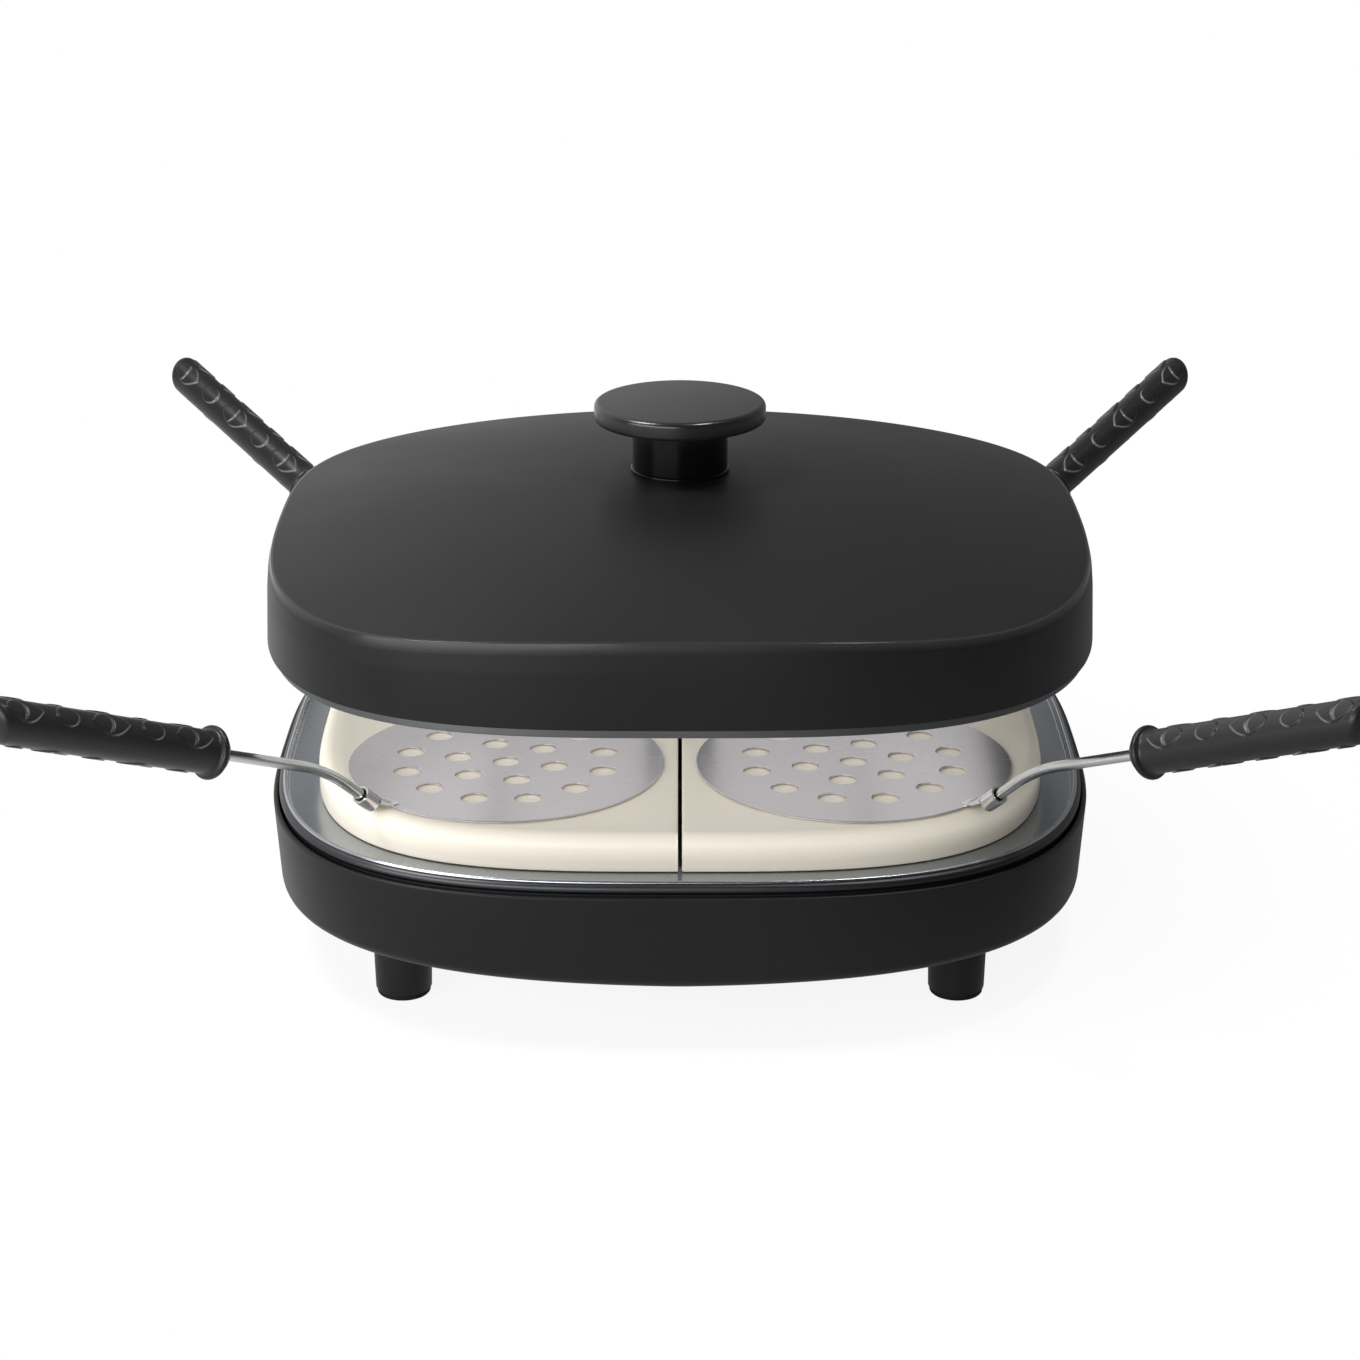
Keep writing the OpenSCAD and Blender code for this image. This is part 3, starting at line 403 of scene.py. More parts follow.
def lid_shell():
    """The drawn lid: a low crown with a flat for the knob, a crisp edge, a soft shoulder, a drafted side."""
    low, high = box_mm("lid_shell")
    top_w = high.x - LID_LEAN_W
    top_d = high.y - LID_LEAN_D
    crown_z = low.z + LID_SIDE + LID_CROWN
    edge_in, crown_in = 1.2, 2.4
    shoulder_in, shoulder_down, side_down, wall_down = 0.35, 3.8, 10.5, 3
    crown_rows, edge_rows, under_rows = 44, 8, 14
    # The crown's rows run from a small ring at the middle to the edge, as shares of the outline
    innermost, outermost = 0.022, 0.99
    dip_deep, dip_period, dip_from, dip_power = 1.1, 0.93, 0.6, 6

    def crown(x, y):
        return min(high.z, crown_z - LID_CROWN*((x/top_w)**2 + (y/top_d)**2)**CROWN_POWER)

    def front_dip(x, y):
        """How far the front edge is pressed below the crown, so that it runs as one straight line."""
        front = min(1.0, max(0.0, (-y/top_d - dip_from)/(1 - dip_from)))
        wave = (1 + math.cos(2*math.pi*x/top_w/dip_period))/2
        return dip_deep*wave*front*front*(3 - 2*front)

    def section(turn):
        x, y = plan(top_w - crown_in, top_d - crown_in, turn)
        dip = front_dip(x, y)
        edge = crown(*plan(top_w - edge_in, top_d - edge_in, turn)) - dip

        def place(inset, z):
            down = (edge - z)/(edge - low.z)
            return (*plan(top_w - inset + LID_LEAN_W*down, top_d - inset + LID_LEAN_D*down, turn), z)

        over = [(x*s, y*s, crown(x*s, y*s) - dip*s**dip_power)
                for s in spread(innermost, outermost, crown_rows)]
        corners = [(crown_in, crown(x, y) - dip, 0), (edge_in, edge, 0.5),
                   (shoulder_in, edge - shoulder_down, 8), (0, edge - side_down, 30), (0, low.z, 0.5),
                   (LID_SHEET, low.z, 0.5), (LID_SHEET, edge - wall_down, 0)]
        side = [place(inset, z) for inset, z in rounded(corners, steps=edge_rows)]
        x, y = plan(top_w - 2*crown_in, top_d - 2*crown_in, turn)
        under = [(x*s, y*s, crown(x*s, y*s) - dip*s**dip_power - LID_SHEET)
                 for s in spread(1, innermost, under_rows)]
        return over + side + under

    rings = around(section)
    # The crisp edge's rows are painted lighter, a painted highlight along the edge, and made less rough
    worn = range(crown_rows + 1, crown_rows + 1 + edge_rows)
    piece("lid_shell", *skin(rings, closed=True), rim=marked(worn, len(rings)))


def lid_liner():
    """The pressed liner under the lid; only its rim shows when the lid is down."""
    half = box_mm("lid_shell")[1]
    low, high = box_mm("lid_liner")
    roof, under = high.z, high.z - SHEET
    rim_in, knee_in, flat_in, bore_r = 2.0, 4.6, 60, 18.4
    inner = [(flat_in, under, 0), (16.3, under, 4), (9.6, roof - 2.9, 5), (knee_in + SHEET, roof - 9, 6),
             (rim_in + SHEET, low.z, 0.35)]
    outer = [(rim_in, low.z, 0.35), (knee_in, roof - 8.8, 6), (9, roof - 2.2, 5), (16, roof, 4),
             (flat_in, roof, 0)]
    line = rounded(inner + outer)

    def section(turn):
        bore = Vector((math.cos(turn), math.sin(turn), 0))*bore_r
        points = [(*plan(half.x - inset, half.y - inset, turn), z) for inset, z in line]
        return [bore + UP*under, *points, bore + UP*roof]

    piece("lid_liner", *skin(around(section), closed=True))


def knob():
    """The knob: a thin ring, a polished stem and a broad satin cap with round edges."""
    edge_radii = {"knob_ring": (0.2, 0.5), "knob_stem": (0.2, 0.3), "knob_cap": (1.4, 2.0)}
    for node, (lower_r, upper_r) in edge_radii.items():
        low, high = box_mm(node)
        tall = high.z - low.z
        profile = rounded([(AXIS_R, 0, 0), (high.x, 0, lower_r), (high.x, tall, upper_r), (AXIS_R, tall, 0)],
                          steps=9)
        piece(node, *skin(turned(profile, UP*low.z, UP, 160)))


# Base

def base_shell():
    """The base: a nearly upright side whose round lower edge rises towards the corners, and a lip below."""
    low, high = box_mm("base_shell")
    edge_z = low.z + BASE_EDGE_LIFT
    draft = BASE_DRAFT*(high.z - edge_z)/(high.z - edge_z - BASE_EDGE_R)
    lip_in, lip_end, lip_top = 16, 20, low.z + BASE_WALL

    def section(turn):
        x, y = plan(high.x, high.y, turn)
        edge = edge_z + BASE_EDGE_RISE*max(0.0, (x/high.x)**2 + (y/high.y)**2 - 1)**RISE_POWER
        corners = [(BASE_WALL, high.z, 0.6), (0, high.z, 0.8), (draft, edge, BASE_EDGE_R),
                   (lip_in, low.z, 3), (lip_end, low.z, 0.4), (lip_end, lip_top, 0.4), (lip_in, lip_top, 2),
                   (draft + BASE_WALL, edge + BASE_WALL, 3.5)]
        line = rounded(corners, closed=True)
        return [(*plan(high.x - inset, high.y - inset, turn), z) for inset, z in line]

    made = piece("base_shell", *skin(around(section), closed=True))
    # Holes for the gland and the switch, cut from inside the base to behind it
    cut_from, cut_l = 140, 30
    gland_r = GLAND_SLEEVE_R + PORT_FIT
    gland = Vector((-PORT_X, cut_from, PORT_Z))
    cut_out(made, turned([(gland_r, 0), (gland_r, cut_l)], gland, REARWARDS, 48))
    w, h = HOUSING_W + PORT_FIT, HOUSING_H + PORT_FIT
    cut_out(made, [[Vector((PORT_X + x, y, PORT_Z + z)) for x, z in ((-w, -h), (w, -h), (w, h), (-w, h))]
                   for y in (cut_from, cut_from + cut_l)])


def tray():
    """The tray: a dark roll at the rim, a thin bright ridge, a broad flat flange and a pan with a lip."""
    half = box_mm("base_shell")[1]
    low, high = box_mm("tray")
    flange_z = high.z - FLANGE_DOWN
    root = RIDGE_IN + RIDGE_R + 0.4
    pan_in, lip_end, skirt_l = FLANGE_W + 4, 45, 2.2

    def arc(inset, top, radius, first, last, count):
        return [(inset - radius*math.cos(a), top - radius*(1 - math.sin(a)), 0)
                for a in spread(math.radians(first), math.radians(last), count)]

    ridge = arc(RIDGE_IN, high.z, RIDGE_R, 170, 10, 12)
    roll = arc(ROLL_IN, high.z - ROLL_DOWN, ROLL_R, 72, -50, 24)
    groove = [(RIDGE_IN - RIDGE_R + 0.25, roll[0][1] + 0.15, 0)]
    skirt_in, roll_low, _ = roll[-1]
    skirt_z = roll_low - skirt_l
    under = [(skirt_in, skirt_z, 0.3), (skirt_in + SHEET, skirt_z, 0.3), (root, flange_z - SHEET, 0.4),
             (FLANGE_W, flange_z - SHEET, 2), (pan_in, low.z, 2), (lip_end, low.z, 0.3)]
    over = [(lip_end, low.z + SHEET, 0.3), (pan_in, low.z + SHEET, 1.4), (FLANGE_W, flange_z, 2.6),
            (root, flange_z, 0.6)]
    line = rounded(ridge + groove + roll + under + over, closed=True)
    dark = range(len(ridge), len(ridge + groove + roll))

    def section(turn):
        return [(*plan(half.x - inset, half.y - inset, turn), z) for inset, z in line]

    piece("tray", *skin(around(section), closed=True), rim=marked(dark, len(line)))


def baking_plate(node, side):
    """Half of the baking plate: broad round outer edge, crisp slit edge, and a bay round the column."""
    low, high = box_mm(node)
    half_w, half_d = max(-low.x, high.x), high.y
    slit_half = min(abs(low.x), abs(high.x))
    slit_edge_r = 0.7

    def ring(inset, nick, z):
        slit, bay = slit_half + nick, COLUMN_CLEAR + nick
        stop = math.pi/2 - math.asin(slit/(half_d - inset))
        bay_stop = math.pi/2 - math.asin(slit/bay)
        outer = [plan(half_w - inset, half_d - inset, t, PLATE_SQUARENESS) for t in spread(-stop, stop, 180)]
        inner = [(bay*math.cos(t), bay*math.sin(t)) for t in spread(bay_stop, -bay_stop, 40)]
        return [(side*x, y, z) for x, y in outer + inner]

    # The lower edge is just broken, the upper one is round
    rings = [ring(ease, ease, low.z + up) for ease, up in ((0.8, 0), (0.2, 0.25), (0, 0.8))]
    for a in spread(0, math.pi/2, 14):
        z = high.z - PLATE_EDGE_R*(1 - math.sin(a))
        over = max(0.0, z - high.z + slit_edge_r)
        nick = slit_edge_r - math.sqrt(slit_edge_r**2 - over**2)
        rings.append(ring(PLATE_EDGE_R*(1 - math.cos(a)), nick, z))
    piece(node, *skin(rings))


def foot(corner):
    """A moulded foot that widens upwards to a spigot, on a rubber pad."""
    low, high = box_mm("foot_" + corner)
    middle = (low + high)/2
    ground = Vector((middle.x, middle.y, 0))
    wide = (high.x - low.x)/2
    pad = box_mm("pad_" + corner)[1].x - middle.x
    shoulder_z, spigot = high.z - 2, wide/2
    profile = rounded([(AXIS_R, low.z, 0), (pad + 0.5, low.z, 0.5), (wide, shoulder_z, 0.3),
                       (spigot, shoulder_z, 0.2), (spigot, high.z, 0.2), (AXIS_R, high.z, 0)])
    piece("foot_" + corner, *skin(turned(profile, ground, UP)))
    profile = rounded([(AXIS_R, 0, 0), (pad, 0, 1.6), (pad, low.z, 0.2), (AXIS_R, low.z, 0)])
    piece("pad_" + corner, *skin(turned(profile, ground, UP)))


def cord_gland():
    """The gland at the rear: a round flange and a sleeve through the base, with its bore open."""
    low, high = box_mm("cord_gland")
    end = high.y - low.y
    flange, flange_r = end - GLAND_FLANGE, high.x + PORT_X
    profile = rounded([(GLAND_BORE_R, 0, 0.3), (GLAND_SLEEVE_R, 0, 0.4), (GLAND_SLEEVE_R, flange, 0),
                       (flange_r, flange, 0.2), (flange_r, end, 1.6), (GLAND_BORE_R, end, 0.8)], closed=True)
    piece("cord_gland", *skin(turned(profile, Vector((-PORT_X, low.y, PORT_Z)), REARWARDS), closed=True))


def switch_housing():
    """The housing of the rear switch: an eased bezel round a recess."""
    bezel_w, bezel_h = switch_high.x - PORT_X, switch_high.z - PORT_Z
    recess_w, recess_h = HOUSING_W - HOUSING_WALL, HOUSING_H - HOUSING_WALL
    front = switch_high.y
    face = front - BEZEL_DEEP
    bezel_r, ease, recess_ease = 1.8, 0.9, 0.4

    def ring(w, h, radius, y):
        corners = [(-w, -h, radius), (w, -h, radius), (w, h, radius), (-w, h, radius)]
        return [Vector((PORT_X + p.x, y, PORT_Z + p.y)) for p in rounded(corners, closed=True)]

    rings = [ring(HOUSING_W, HOUSING_H, 0.6, y) for y in (switch_low.y, face)]
    rings.append(ring(bezel_w, bezel_h, bezel_r, face))
    for a in spread(0, math.pi/2, 6):
        inset = ease*(1 - math.cos(a))
        rings.append(ring(bezel_w - inset, bezel_h - inset, bezel_r, front - ease*(1 - math.sin(a))))
    rings.append(ring(recess_w + recess_ease, recess_h + recess_ease, 0.6, front))
    rings += [ring(recess_w, recess_h, 0.4, y) for y in (front - recess_ease, face - RECESS_DEEP)]
    piece("switch_housing", *skin(rings))


def switch_rocker():
    """The rocker: two sloping faces over a keel, tipped to one side of its pivot."""
    joint = joint_of["switch_rocker"]
    pivot = Vector(joint["pos_m"])/MM
    tip = -math.radians(joint["range_deg"][1])/2
    tall = 2*(HOUSING_H - HOUSING_WALL) - ROCKER_PLAY
    end, ear, keel_half, keel_deep = ROCKER_L/2, 3.4, 2.4, 3
    ear_low, dent = ear - 2.6, ear - 1.2
    outline = rounded([(-end, ear, 0.5), (-end, ear_low, 0.5), (-keel_half, -keel_deep, 0.8),
                       (keel_half, -keel_deep, 0.8), (end, ear_low, 0.5), (end, ear, 0.5), (0, dent, 6)],
                      closed=True)
    c, s = math.cos(tip), math.sin(tip)
    rings = []
    for up, ease in ((-0.5, 0.35), (-0.46, 0), (0.46, 0), (0.5, 0.35)):
        eased = [(p.x*(1 - ease/end), p.y*(1 - ease/keel_deep)) for p in outline]
        rings.append([pivot + Vector((x*c - y*s, x*s + y*c, tall*up)) for x, y in eased])
    piece("switch_rocker", *skin(rings))


def upper_reflector():
    """The sheet over the upper heater: a flat roof with a round edge, a skirt, holes for column and legs."""
    low, high = box_mm("upper_reflector")
    roof, under, flat_in = high.z, high.z - SHEET, 60
    bore_r = box_mm("column_tube")[1].x + PORT_FIT
    line = rounded([(flat_in, roof, 0), (0, roof, 3), (0, low.z, 0.35), (SHEET, low.z, 0.35),
                    (SHEET, under, 2.2), (flat_in, under, 0)])

    def section(turn):
        bore = Vector((math.cos(turn), math.sin(turn), 0))*bore_r
        points = [(*plan(high.x - inset, high.y - inset, turn), z) for inset, z in line]
        return [bore + UP*roof, *points, bore + UP*under]

    made = piece("upper_reflector", *skin(around(section), closed=True))
    leg_y = box_mm("upper_element")[1].y - ELEMENT_R
    hole_r, cut_half = ELEMENT_R + 1, 2
    for x in (-LEG_X, LEG_X):
        foot_point = Vector((x, leg_y, roof - cut_half))
        cut_out(made, turned([(hole_r, 0), (hole_r, 2*cut_half)], foot_point, UP, 40))


# Spatulas

class Spatula:
    """Places on one spatula: outwards from the blade's middle, across, and up from the blade's top."""

    def __init__(self, corner):
        low, high = box_mm("blade_" + corner)
        self.out = Vector(joint_of["spatula_" + corner]["axis"])
        self.across = UP.cross(self.out)
        self.middle = Vector(((low.x + high.x)/2, (low.y + high.y)/2, high.z))
        self.radius = (high.x - low.x)/2
        self.sheet = high.z - low.z

    def at(self, out, across, up):
        return self.middle + self.out*out + self.across*across + UP*up

    def along(self, rise):
        return self.out*math.cos(rise) + UP*math.sin(rise)

    def over(self, rise):
        return UP*math.cos(rise) - self.out*math.sin(rise)


def blade(corner, spatula):
    """The perforated disc, with its sheared edges just broken."""
    ease, rim_points, hole_points = 0.25, 160, 40
    # Each loop: its middle, its radius, the way its broken edge leans and its count of points
    loops = [(0.0, 0.0, spatula.radius, -1, rim_points)]
    for ring, count in HOLE_RINGS:
        loops += [(ring*math.cos(t), ring*math.sin(t), HOLE_R, 1, hole_points) for t in turns(count)]
    levels = ((ease, 0), (0, -ease), (0, ease - spatula.sheet), (ease, -spatula.sheet))
    shape = bmesh.new()
    caps = ([], [])
    for x, y, radius, lean, count in loops:
        rows = []
        for inset, up in levels:
            r = radius + lean*inset
            rows.append([shape.verts.new(spatula.at(x + r*math.cos(t), y + r*math.sin(t), up))
                         for t in turns(count)])
        for a, b in zip(rows, rows[1:]):
            for i in range(count):
                shape.faces.new((a[i - 1], a[i], b[i], b[i - 1]))
        for cap, row in zip(caps, (rows[0], rows[-1])):
            cap += [shape.edges.get((row[i - 1], row[i])) for i in range(count)]
    for cap in caps:
        bmesh.ops.triangle_fill(shape, edges=cap, use_beauty=True, normal=UP)
    shape.verts.index_update()
    points = [v.co.copy() for v in shape.verts]
    faces = [tuple(v.index for v in f.verts) for f in shape.faces]
    shape.free()
    piece("blade_" + corner, points, faces)


def ferrule(corner, spatula):
    """The ferrule: sheet rolled into a wide sleeve, then flattened to a short tongue on the blade's edge."""
    sheet, thin = 0.8, 0.36
    # Half the angle that the sheet wraps: closed sleeve, opened by a cut, and nearly flat
    seam, cut, flat = math.radians(179.4), math.radians(70), math.radians(1.2)
    tongue_out, tongue_w = 57.0, 8.4
    floor_z = spatula.middle.z - spatula.sheet + 0.2
    wrap_points = 41

    def station(out, up, rise, half, r, thick=sheet):
        """A ring of the sheet at a place: wrapped by a radius about a sloping axis, kept above the floor."""
        top, over = spatula.at(out, 0, up), spatula.over(rise)
        ring = [(r + thick/2, t) for t in spread(-half, half, wrap_points)]
        ring += [(r - thick/2, t) for t in spread(half, -half, wrap_points)]
        points = [top + over*(rho*math.cos(t) - r) + spatula.across*rho*math.sin(t) for rho, t in ring]
        return [Vector((p.x, p.y, max(p.z, floor_z))) for p in points]

    steep = Vector((math.cos(RISE_IN), math.sin(RISE_IN)))
    # The top line of the sleeve at its inner end, from which a smooth curve leads down to the tongue
    a = Vector((SLEEVE_OUT - SLEEVE_R*math.sin(RISE_IN), SLEEVE_UP + SLEEVE_R*math.cos(RISE_IN)))
    d = Vector((tongue_out, thin/2 + 0.02))
    b, c = a - steep*2.4, d + Vector((3.0, 0))
    rings = [station(*(a + steep*s), RISE_IN, seam, SLEEVE_R)
             for s in (SLEEVE_L, SLEEVE_L - 0.2, SLEEVE_L/2, 1.0, 0.8)]
    rings.append(station(*(a + steep*0.4), RISE_IN, cut, SLEEVE_R))
    for t in spread(0, 1, 16):
        p = a*(1 - t)**3 + b*3*t*(1 - t)**2 + c*3*t*t*(1 - t) + d*t**3
        slope = (b - a)*(1 - t)**2 + (c - b)*2*t*(1 - t) + (d - c)*t*t
        half = (cut - flat)*(1 - t)**1.4 + flat
        width = 2*cut*SLEEVE_R*(1 - t) + tongue_w*t
        rise = math.atan2(-slope.y, -slope.x)
        rings.append(station(*p, rise, half, width/(2*half), sheet + (thin - sheet)*t))
    # The tongue's rounded tip
    for back, narrower in ((0.3, 0.2), (0.5, 0.8), (0.6, 1.8)):
        tip_r = (tongue_w - narrower)/(2*flat)
        rings.append(station(tongue_out - back, d.y, 0, flat, tip_r, thin))
    piece("ferrule_" + corner, *skin(rings))


def rod(corner, spatula):
    """The rod, with its one wide bend."""
    steep = Vector((math.cos(RISE_IN), math.sin(RISE_IN)))
    flat = Vector((math.cos(RISE_OUT), math.sin(RISE_OUT)))
    bend_start = Vector((BEND_OUT, BEND_UP)) - steep*BEND_R*math.tan((RISE_IN - RISE_OUT)/2)
    path = [(Vector((SLEEVE_OUT, SLEEVE_UP)) + steep*ROD_START, RISE_IN)]
    for rise in spread(RISE_IN, RISE_OUT, 16):
        turn = Vector((math.sin(RISE_IN) - math.sin(rise), math.cos(rise) - math.cos(RISE_IN)))
        path.append((bend_start + turn*BEND_R, rise))
    path.append((Vector((GRIP_OUT, GRIP_UP)) + flat*ROD_IN_GRIP, RISE_OUT))
    rings = []
    for place, rise in path:
        middle, over = spatula.at(place.x, 0, place.y), spatula.over(rise)
        rings.append([middle + over*ROD_R*math.cos(t) + spatula.across*ROD_R*math.sin(t) for t in turns(32)])
    piece("rod_" + corner, *skin(rings))


def grip_relief(along, turn):
    """Height of the grip's relief: rows of pointed leaves with a cut across and small ovals between them."""
    first, period, edge = 17.0, 36.5, 0.7
    leaf_half_l, leaf_half_w, leaf_slope = 8.4, 5.2, 0.75
    oval_half_l, oval_half_w, oval_slope = 4.9, 4.3, 4.4
    cut_back, cut_bow, cut_half, cut_deep = 0.8, 0.1, 0.5, 0.6
    relief = np.zeros_like(along)
    # Two rows on the upper side, and one below that is shifted by half a period
    for row, shift in ((41, 0), (-41, 0), (180, period/2)):
        side = ((turn - math.radians(row) + math.pi) % (2*math.pi) - math.pi)*GRIP_R
        for repeat in range(-1, 4):
            leaf = along - (first + shift + period*repeat)
            oval = leaf - period/2
            in_leaf = leaf_slope*(leaf_half_w*(1 - (leaf/leaf_half_l)**2) - np.abs(side))
            in_oval = oval_slope*(1 - np.hypot(oval/oval_half_l, side/oval_half_w))
            inside = np.maximum(in_leaf, in_oval)
            pad = np.clip(inside/edge, 0, 1)
            line = np.exp(-((leaf + cut_back - cut_bow*side**2)/cut_half)**2)
            cut = line*np.clip(inside/edge - 1, 0, 1)
            relief = np.maximum(relief, RELIEF*(pad*pad*(3 - 2*pad) - cut_deep*cut))
    return relief


def grip(corner, spatula):
    """The moulded grip: a domed collar at the rod, raised leaf pads along it and an upright rounded end."""
    body, body_from = GRIP_R - RELIEF, 8.5
    rows, points_round, end_r, lean_l, highlight_slope = 400, 208, 4.0, 24, 0.06
    collar = rounded([(ROD_R + 0.1, 0, 0), (6.2, 0, 2), (COLLAR_R, 3.6, 2.6), (COLLAR_R, 5.2, 0.9),
                      (body + 0.1, 5.8, 1.2), (body, body_from, 0)], steps=9)[:-1]
    profile = [tuple(p) for p in collar]
    profile += [(body, s) for s in spread(body_from, GRIP_L - end_r, rows)]
    profile += [(body - end_r*(1 - math.cos(a)), GRIP_L - end_r*(1 - math.sin(a)))
                for a in spread(0, math.pi/2, 10)[1:]]
    profile.append((AXIS_R, GRIP_L))
    radius, along = (np.array(v)[:, None] for v in zip(*profile))
    turn = np.linspace(0, 2*math.pi, points_round, endpoint=False)[None, :]
    # The relief fades out at the collar and at the end
    fade = np.clip((along - 7)/2, 0, 1)*np.clip((GRIP_L - 1 - along)/4, 0, 1)
    relief = grip_relief(along + 0*turn, turn + 0*along)*fade
    radius = radius + relief
    # The edges that face the collar are painted lighter and made less rough, a painted highlight
    worn = np.clip(np.gradient(relief, axis=0)/highlight_slope, 0, 1)
    # The lower side ends sooner than the upper, so the end stands upright
    lean = math.tan(RISE_OUT)*np.clip((along - GRIP_L + lean_l)/lean_l, 0, 1)
    along = along - lean*(GRIP_R - radius*np.cos(turn))
    axes = np.array([spatula.along(RISE_OUT), spatula.over(RISE_OUT), spatula.across])
    points = np.stack([along + 0*turn, radius*np.cos(turn), radius*np.sin(turn)], axis=-1) @ axes
    points += np.array(spatula.at(GRIP_OUT, 0, GRIP_UP))
    piece("grip_" + corner, *skin(points.tolist()), crease=60, rim=worn.ravel().tolist())


lid_shell()
lid_liner()
knob()
base_shell()
tray()
baking_plate("plate_left", -1)
baking_plate("plate_right", 1)
cord_gland()
switch_housing()
switch_rocker()
upper_reflector()
for name in CORNERS:
    foot(name)
    held = Spatula(name)
    blade(name, held)
    ferrule(name, held)
    rod(name, held)
    grip(name, held)

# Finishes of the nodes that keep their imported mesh
for name, node in frame["nodes"].items():
    node.data.materials.clear()
    node.data.materials.append(FINISH[slot_of[name]])


# Stage: white studio, pale floor, soft lights and the camera of the photograph; sizes in metres

scene = bpy.context.scene
scene.view_settings.view_transform = "Standard"
WHITE = (1, 1, 1, 1)


def studio():
    """The world: white to the camera; what the object mirrors is dimmer in front and on the right."""
    world = bpy.data.worlds.new("studio")
    world.use_nodes = True
    sky = world.node_tree
    sky.nodes.clear()
    ray = add(sky, "ShaderNodeLightPath", {}).outputs
    place = add(sky, "ShaderNodeTexCoord", {}).outputs["Generated"]
    look = add(sky, "ShaderNodeSeparateXYZ", {0: place}).outputs
    backdrop = add(sky, "ShaderNodeMapRange", {VALUE: look["Y"], FROM_LOW: -0.3, FROM_HIGH: 0.3,
                                               TO_LOW: 0.15, TO_HIGH: 1.0}).outputs[0]
    leftwards = add(sky, "ShaderNodeMapRange", {VALUE: look["X"], FROM_LOW: -0.36, FROM_HIGH: 0.08,
                                                TO_LOW: 1.0, TO_HIGH: 0.26}).outputs[0]
    shine = add(sky, "ShaderNodeMath", {0: backdrop, 1: leftwards}, operation="MULTIPLY").outputs[0]
    shine = add(sky, "ShaderNodeMath", {0: shine, 1: ray["Is Glossy Ray"]}, operation="MULTIPLY").outputs[0]
    direct = add(sky, "ShaderNodeMath", {0: ray["Is Camera Ray"], 1: ray["Is Transmission Ray"]},
                 operation="MAXIMUM").outputs[0]
    ambient = add(sky, "ShaderNodeMapRange", {VALUE: ray["Is Diffuse Ray"],
                                              TO_LOW: 0.0, TO_HIGH: 0.3}).outputs[0]
    level = add(sky, "ShaderNodeMath", {0: direct, 1: shine}, operation="ADD").outputs[0]
    level = add(sky, "ShaderNodeMath", {0: level, 1: ambient}, operation="ADD").outputs[0]
    white = add(sky, "ShaderNodeBackground", {"Color": WHITE, "Strength": level})
    add(sky, "ShaderNodeOutputWorld", {"Surface": white.outputs[0]})
    return world


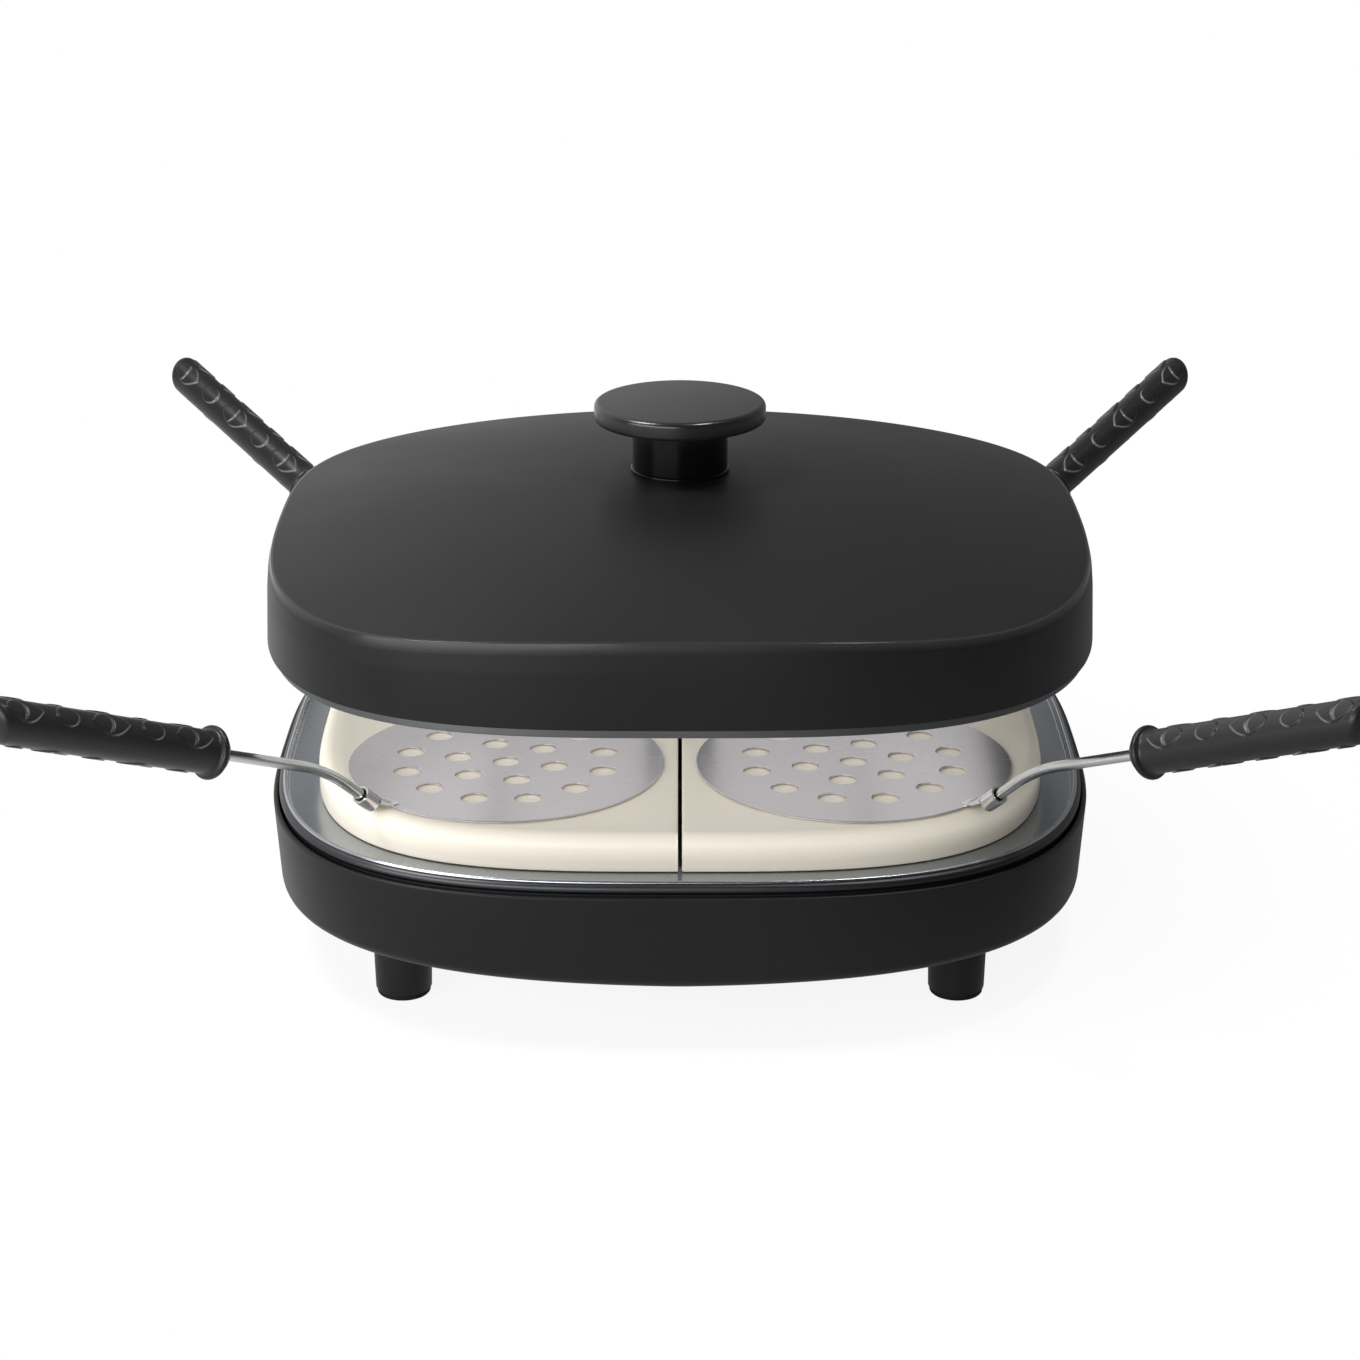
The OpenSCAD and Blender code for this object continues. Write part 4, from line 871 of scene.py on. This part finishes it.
def white_paper():
    """The floor's paper: as white as the backdrop away from the object, with its shadow near the feet."""
    paper = bpy.data.materials.new("white paper floor")
    paper.use_nodes = True
    tree = paper.node_tree
    tree.nodes.clear()
    ray = add(tree, "ShaderNodeLightPath", {}).outputs
    place = add(tree, "ShaderNodeTexCoord", {}).outputs["Object"]
    fibre = add(tree, "ShaderNodeTexNoise", {"Vector": place, "Scale": 400.0}).outputs[0]
    tone = add(tree, "ShaderNodeMix", {SHARE: fibre, COLOUR_A: srgb("#F4F4F4"), COLOUR_B: srgb("#FAFAFA")},
               data_type="RGBA").outputs[MIXED]
    lit = add(tree, "ShaderNodeBsdfDiffuse", {"Color": tone}).outputs[0]
    # What shines back from the paper is brighter on the left, as the backdrop is
    spot = add(tree, "ShaderNodeSeparateXYZ", {0: place}).outputs
    leftwards = add(tree, "ShaderNodeMapRange", {VALUE: spot["X"], FROM_LOW: -0.25, FROM_HIGH: 0.2,
                                                 TO_LOW: 0.9, TO_HIGH: 0.25}).outputs[0]
    strength = add(tree, "ShaderNodeMix", {SHARE: ray["Is Glossy Ray"], NUMBER_A: 1.0, NUMBER_B: leftwards})
    glow = add(tree, "ShaderNodeEmission", {"Color": WHITE, "Strength": strength.outputs[0]}).outputs[0]
    away = add(tree, "ShaderNodeVectorMath", {0: place}, operation="LENGTH").outputs["Value"]
    share = add(tree, "ShaderNodeMapRange", {VALUE: away, FROM_LOW: 0.1, FROM_HIGH: 0.3,
                                             TO_LOW: 0.85, TO_HIGH: 1.0}).outputs[0]
    # The glow lights nothing: to diffuse rays the paper is plain
    unlit = add(tree, "ShaderNodeMath", {0: 1.0, 1: ray["Is Diffuse Ray"]}, operation="SUBTRACT").outputs[0]
    share = add(tree, "ShaderNodeMath", {0: share, 1: unlit}, operation="MULTIPLY").outputs[0]
    mixed = add(tree, "ShaderNodeMixShader", {0: share, 1: lit, 2: glow})
    add(tree, "ShaderNodeOutputMaterial", {"Surface": mixed.outputs[0]})
    return paper


def soft_light(name, place, aim, size, watts):
    """A soft light of a width and a height at a place, turned to its aim."""
    light = bpy.data.lights.new(name, "AREA")
    light.shape = "RECTANGLE"
    light.size, light.size_y = size
    light.energy = watts
    made = bpy.data.objects.new(name, light)
    made.location = place
    made.rotation_euler = (Vector(aim) - Vector(place)).to_track_quat("-Z", "Y").to_euler()
    made.visible_camera = False
    scene.collection.objects.link(made)


scene.world = studio()

FLOOR_HALF = 4
floor_mesh = bpy.data.meshes.new("floor")
floor_corners = [(x*FLOOR_HALF, y*FLOOR_HALF, 0) for x, y in ((-1, -1), (1, -1), (1, 1), (-1, 1))]
floor_mesh.from_pydata(floor_corners, [], [(0, 1, 2, 3)])
floor_mesh.materials.append(white_paper())
floor = bpy.data.objects.new("floor", floor_mesh)
scene.collection.objects.link(floor)

soft_light("upper left", (-0.48, -0.12, 0.98), (0, 0, 0.12), (0.3, 0.3), 7.6)
soft_light("upper right", (0.27, -0.15, 1.0), (0.05, -0.1, 0.12), (0.2, 0.14), 3.6)
soft_light("left", (-0.92, -0.7, 0.42), (0, 0, 0.1), (0.6, 0.6), 6)
soft_light("front fill", (-0.48, -1.2, 0.42), (0, 0, 0.08), (0.8, 0.5), 7.3)
# A flat panel hidden under the lid lights the plates, which the lid would shade too deeply
soft_light("panel under the lid", (-0.008, 0, 0.1185), (-0.008, 0, 0), (0.272, 0.29), 0.13)

# The photograph's camera, as fitted: before the cooker, looking down on it by 0.35 radians
CAMERA_PLACE = (0, -1.2022, 0.5255)
CAMERA_DOWN = 0.350
camera = bpy.data.objects.new("camera", bpy.data.cameras.new("camera"))
camera.data.lens = 85
camera.data.sensor_width = 36
camera.location = CAMERA_PLACE
camera.rotation_euler = (math.pi/2 - CAMERA_DOWN, 0, 0)
scene.collection.objects.link(camera)
scene.camera = camera
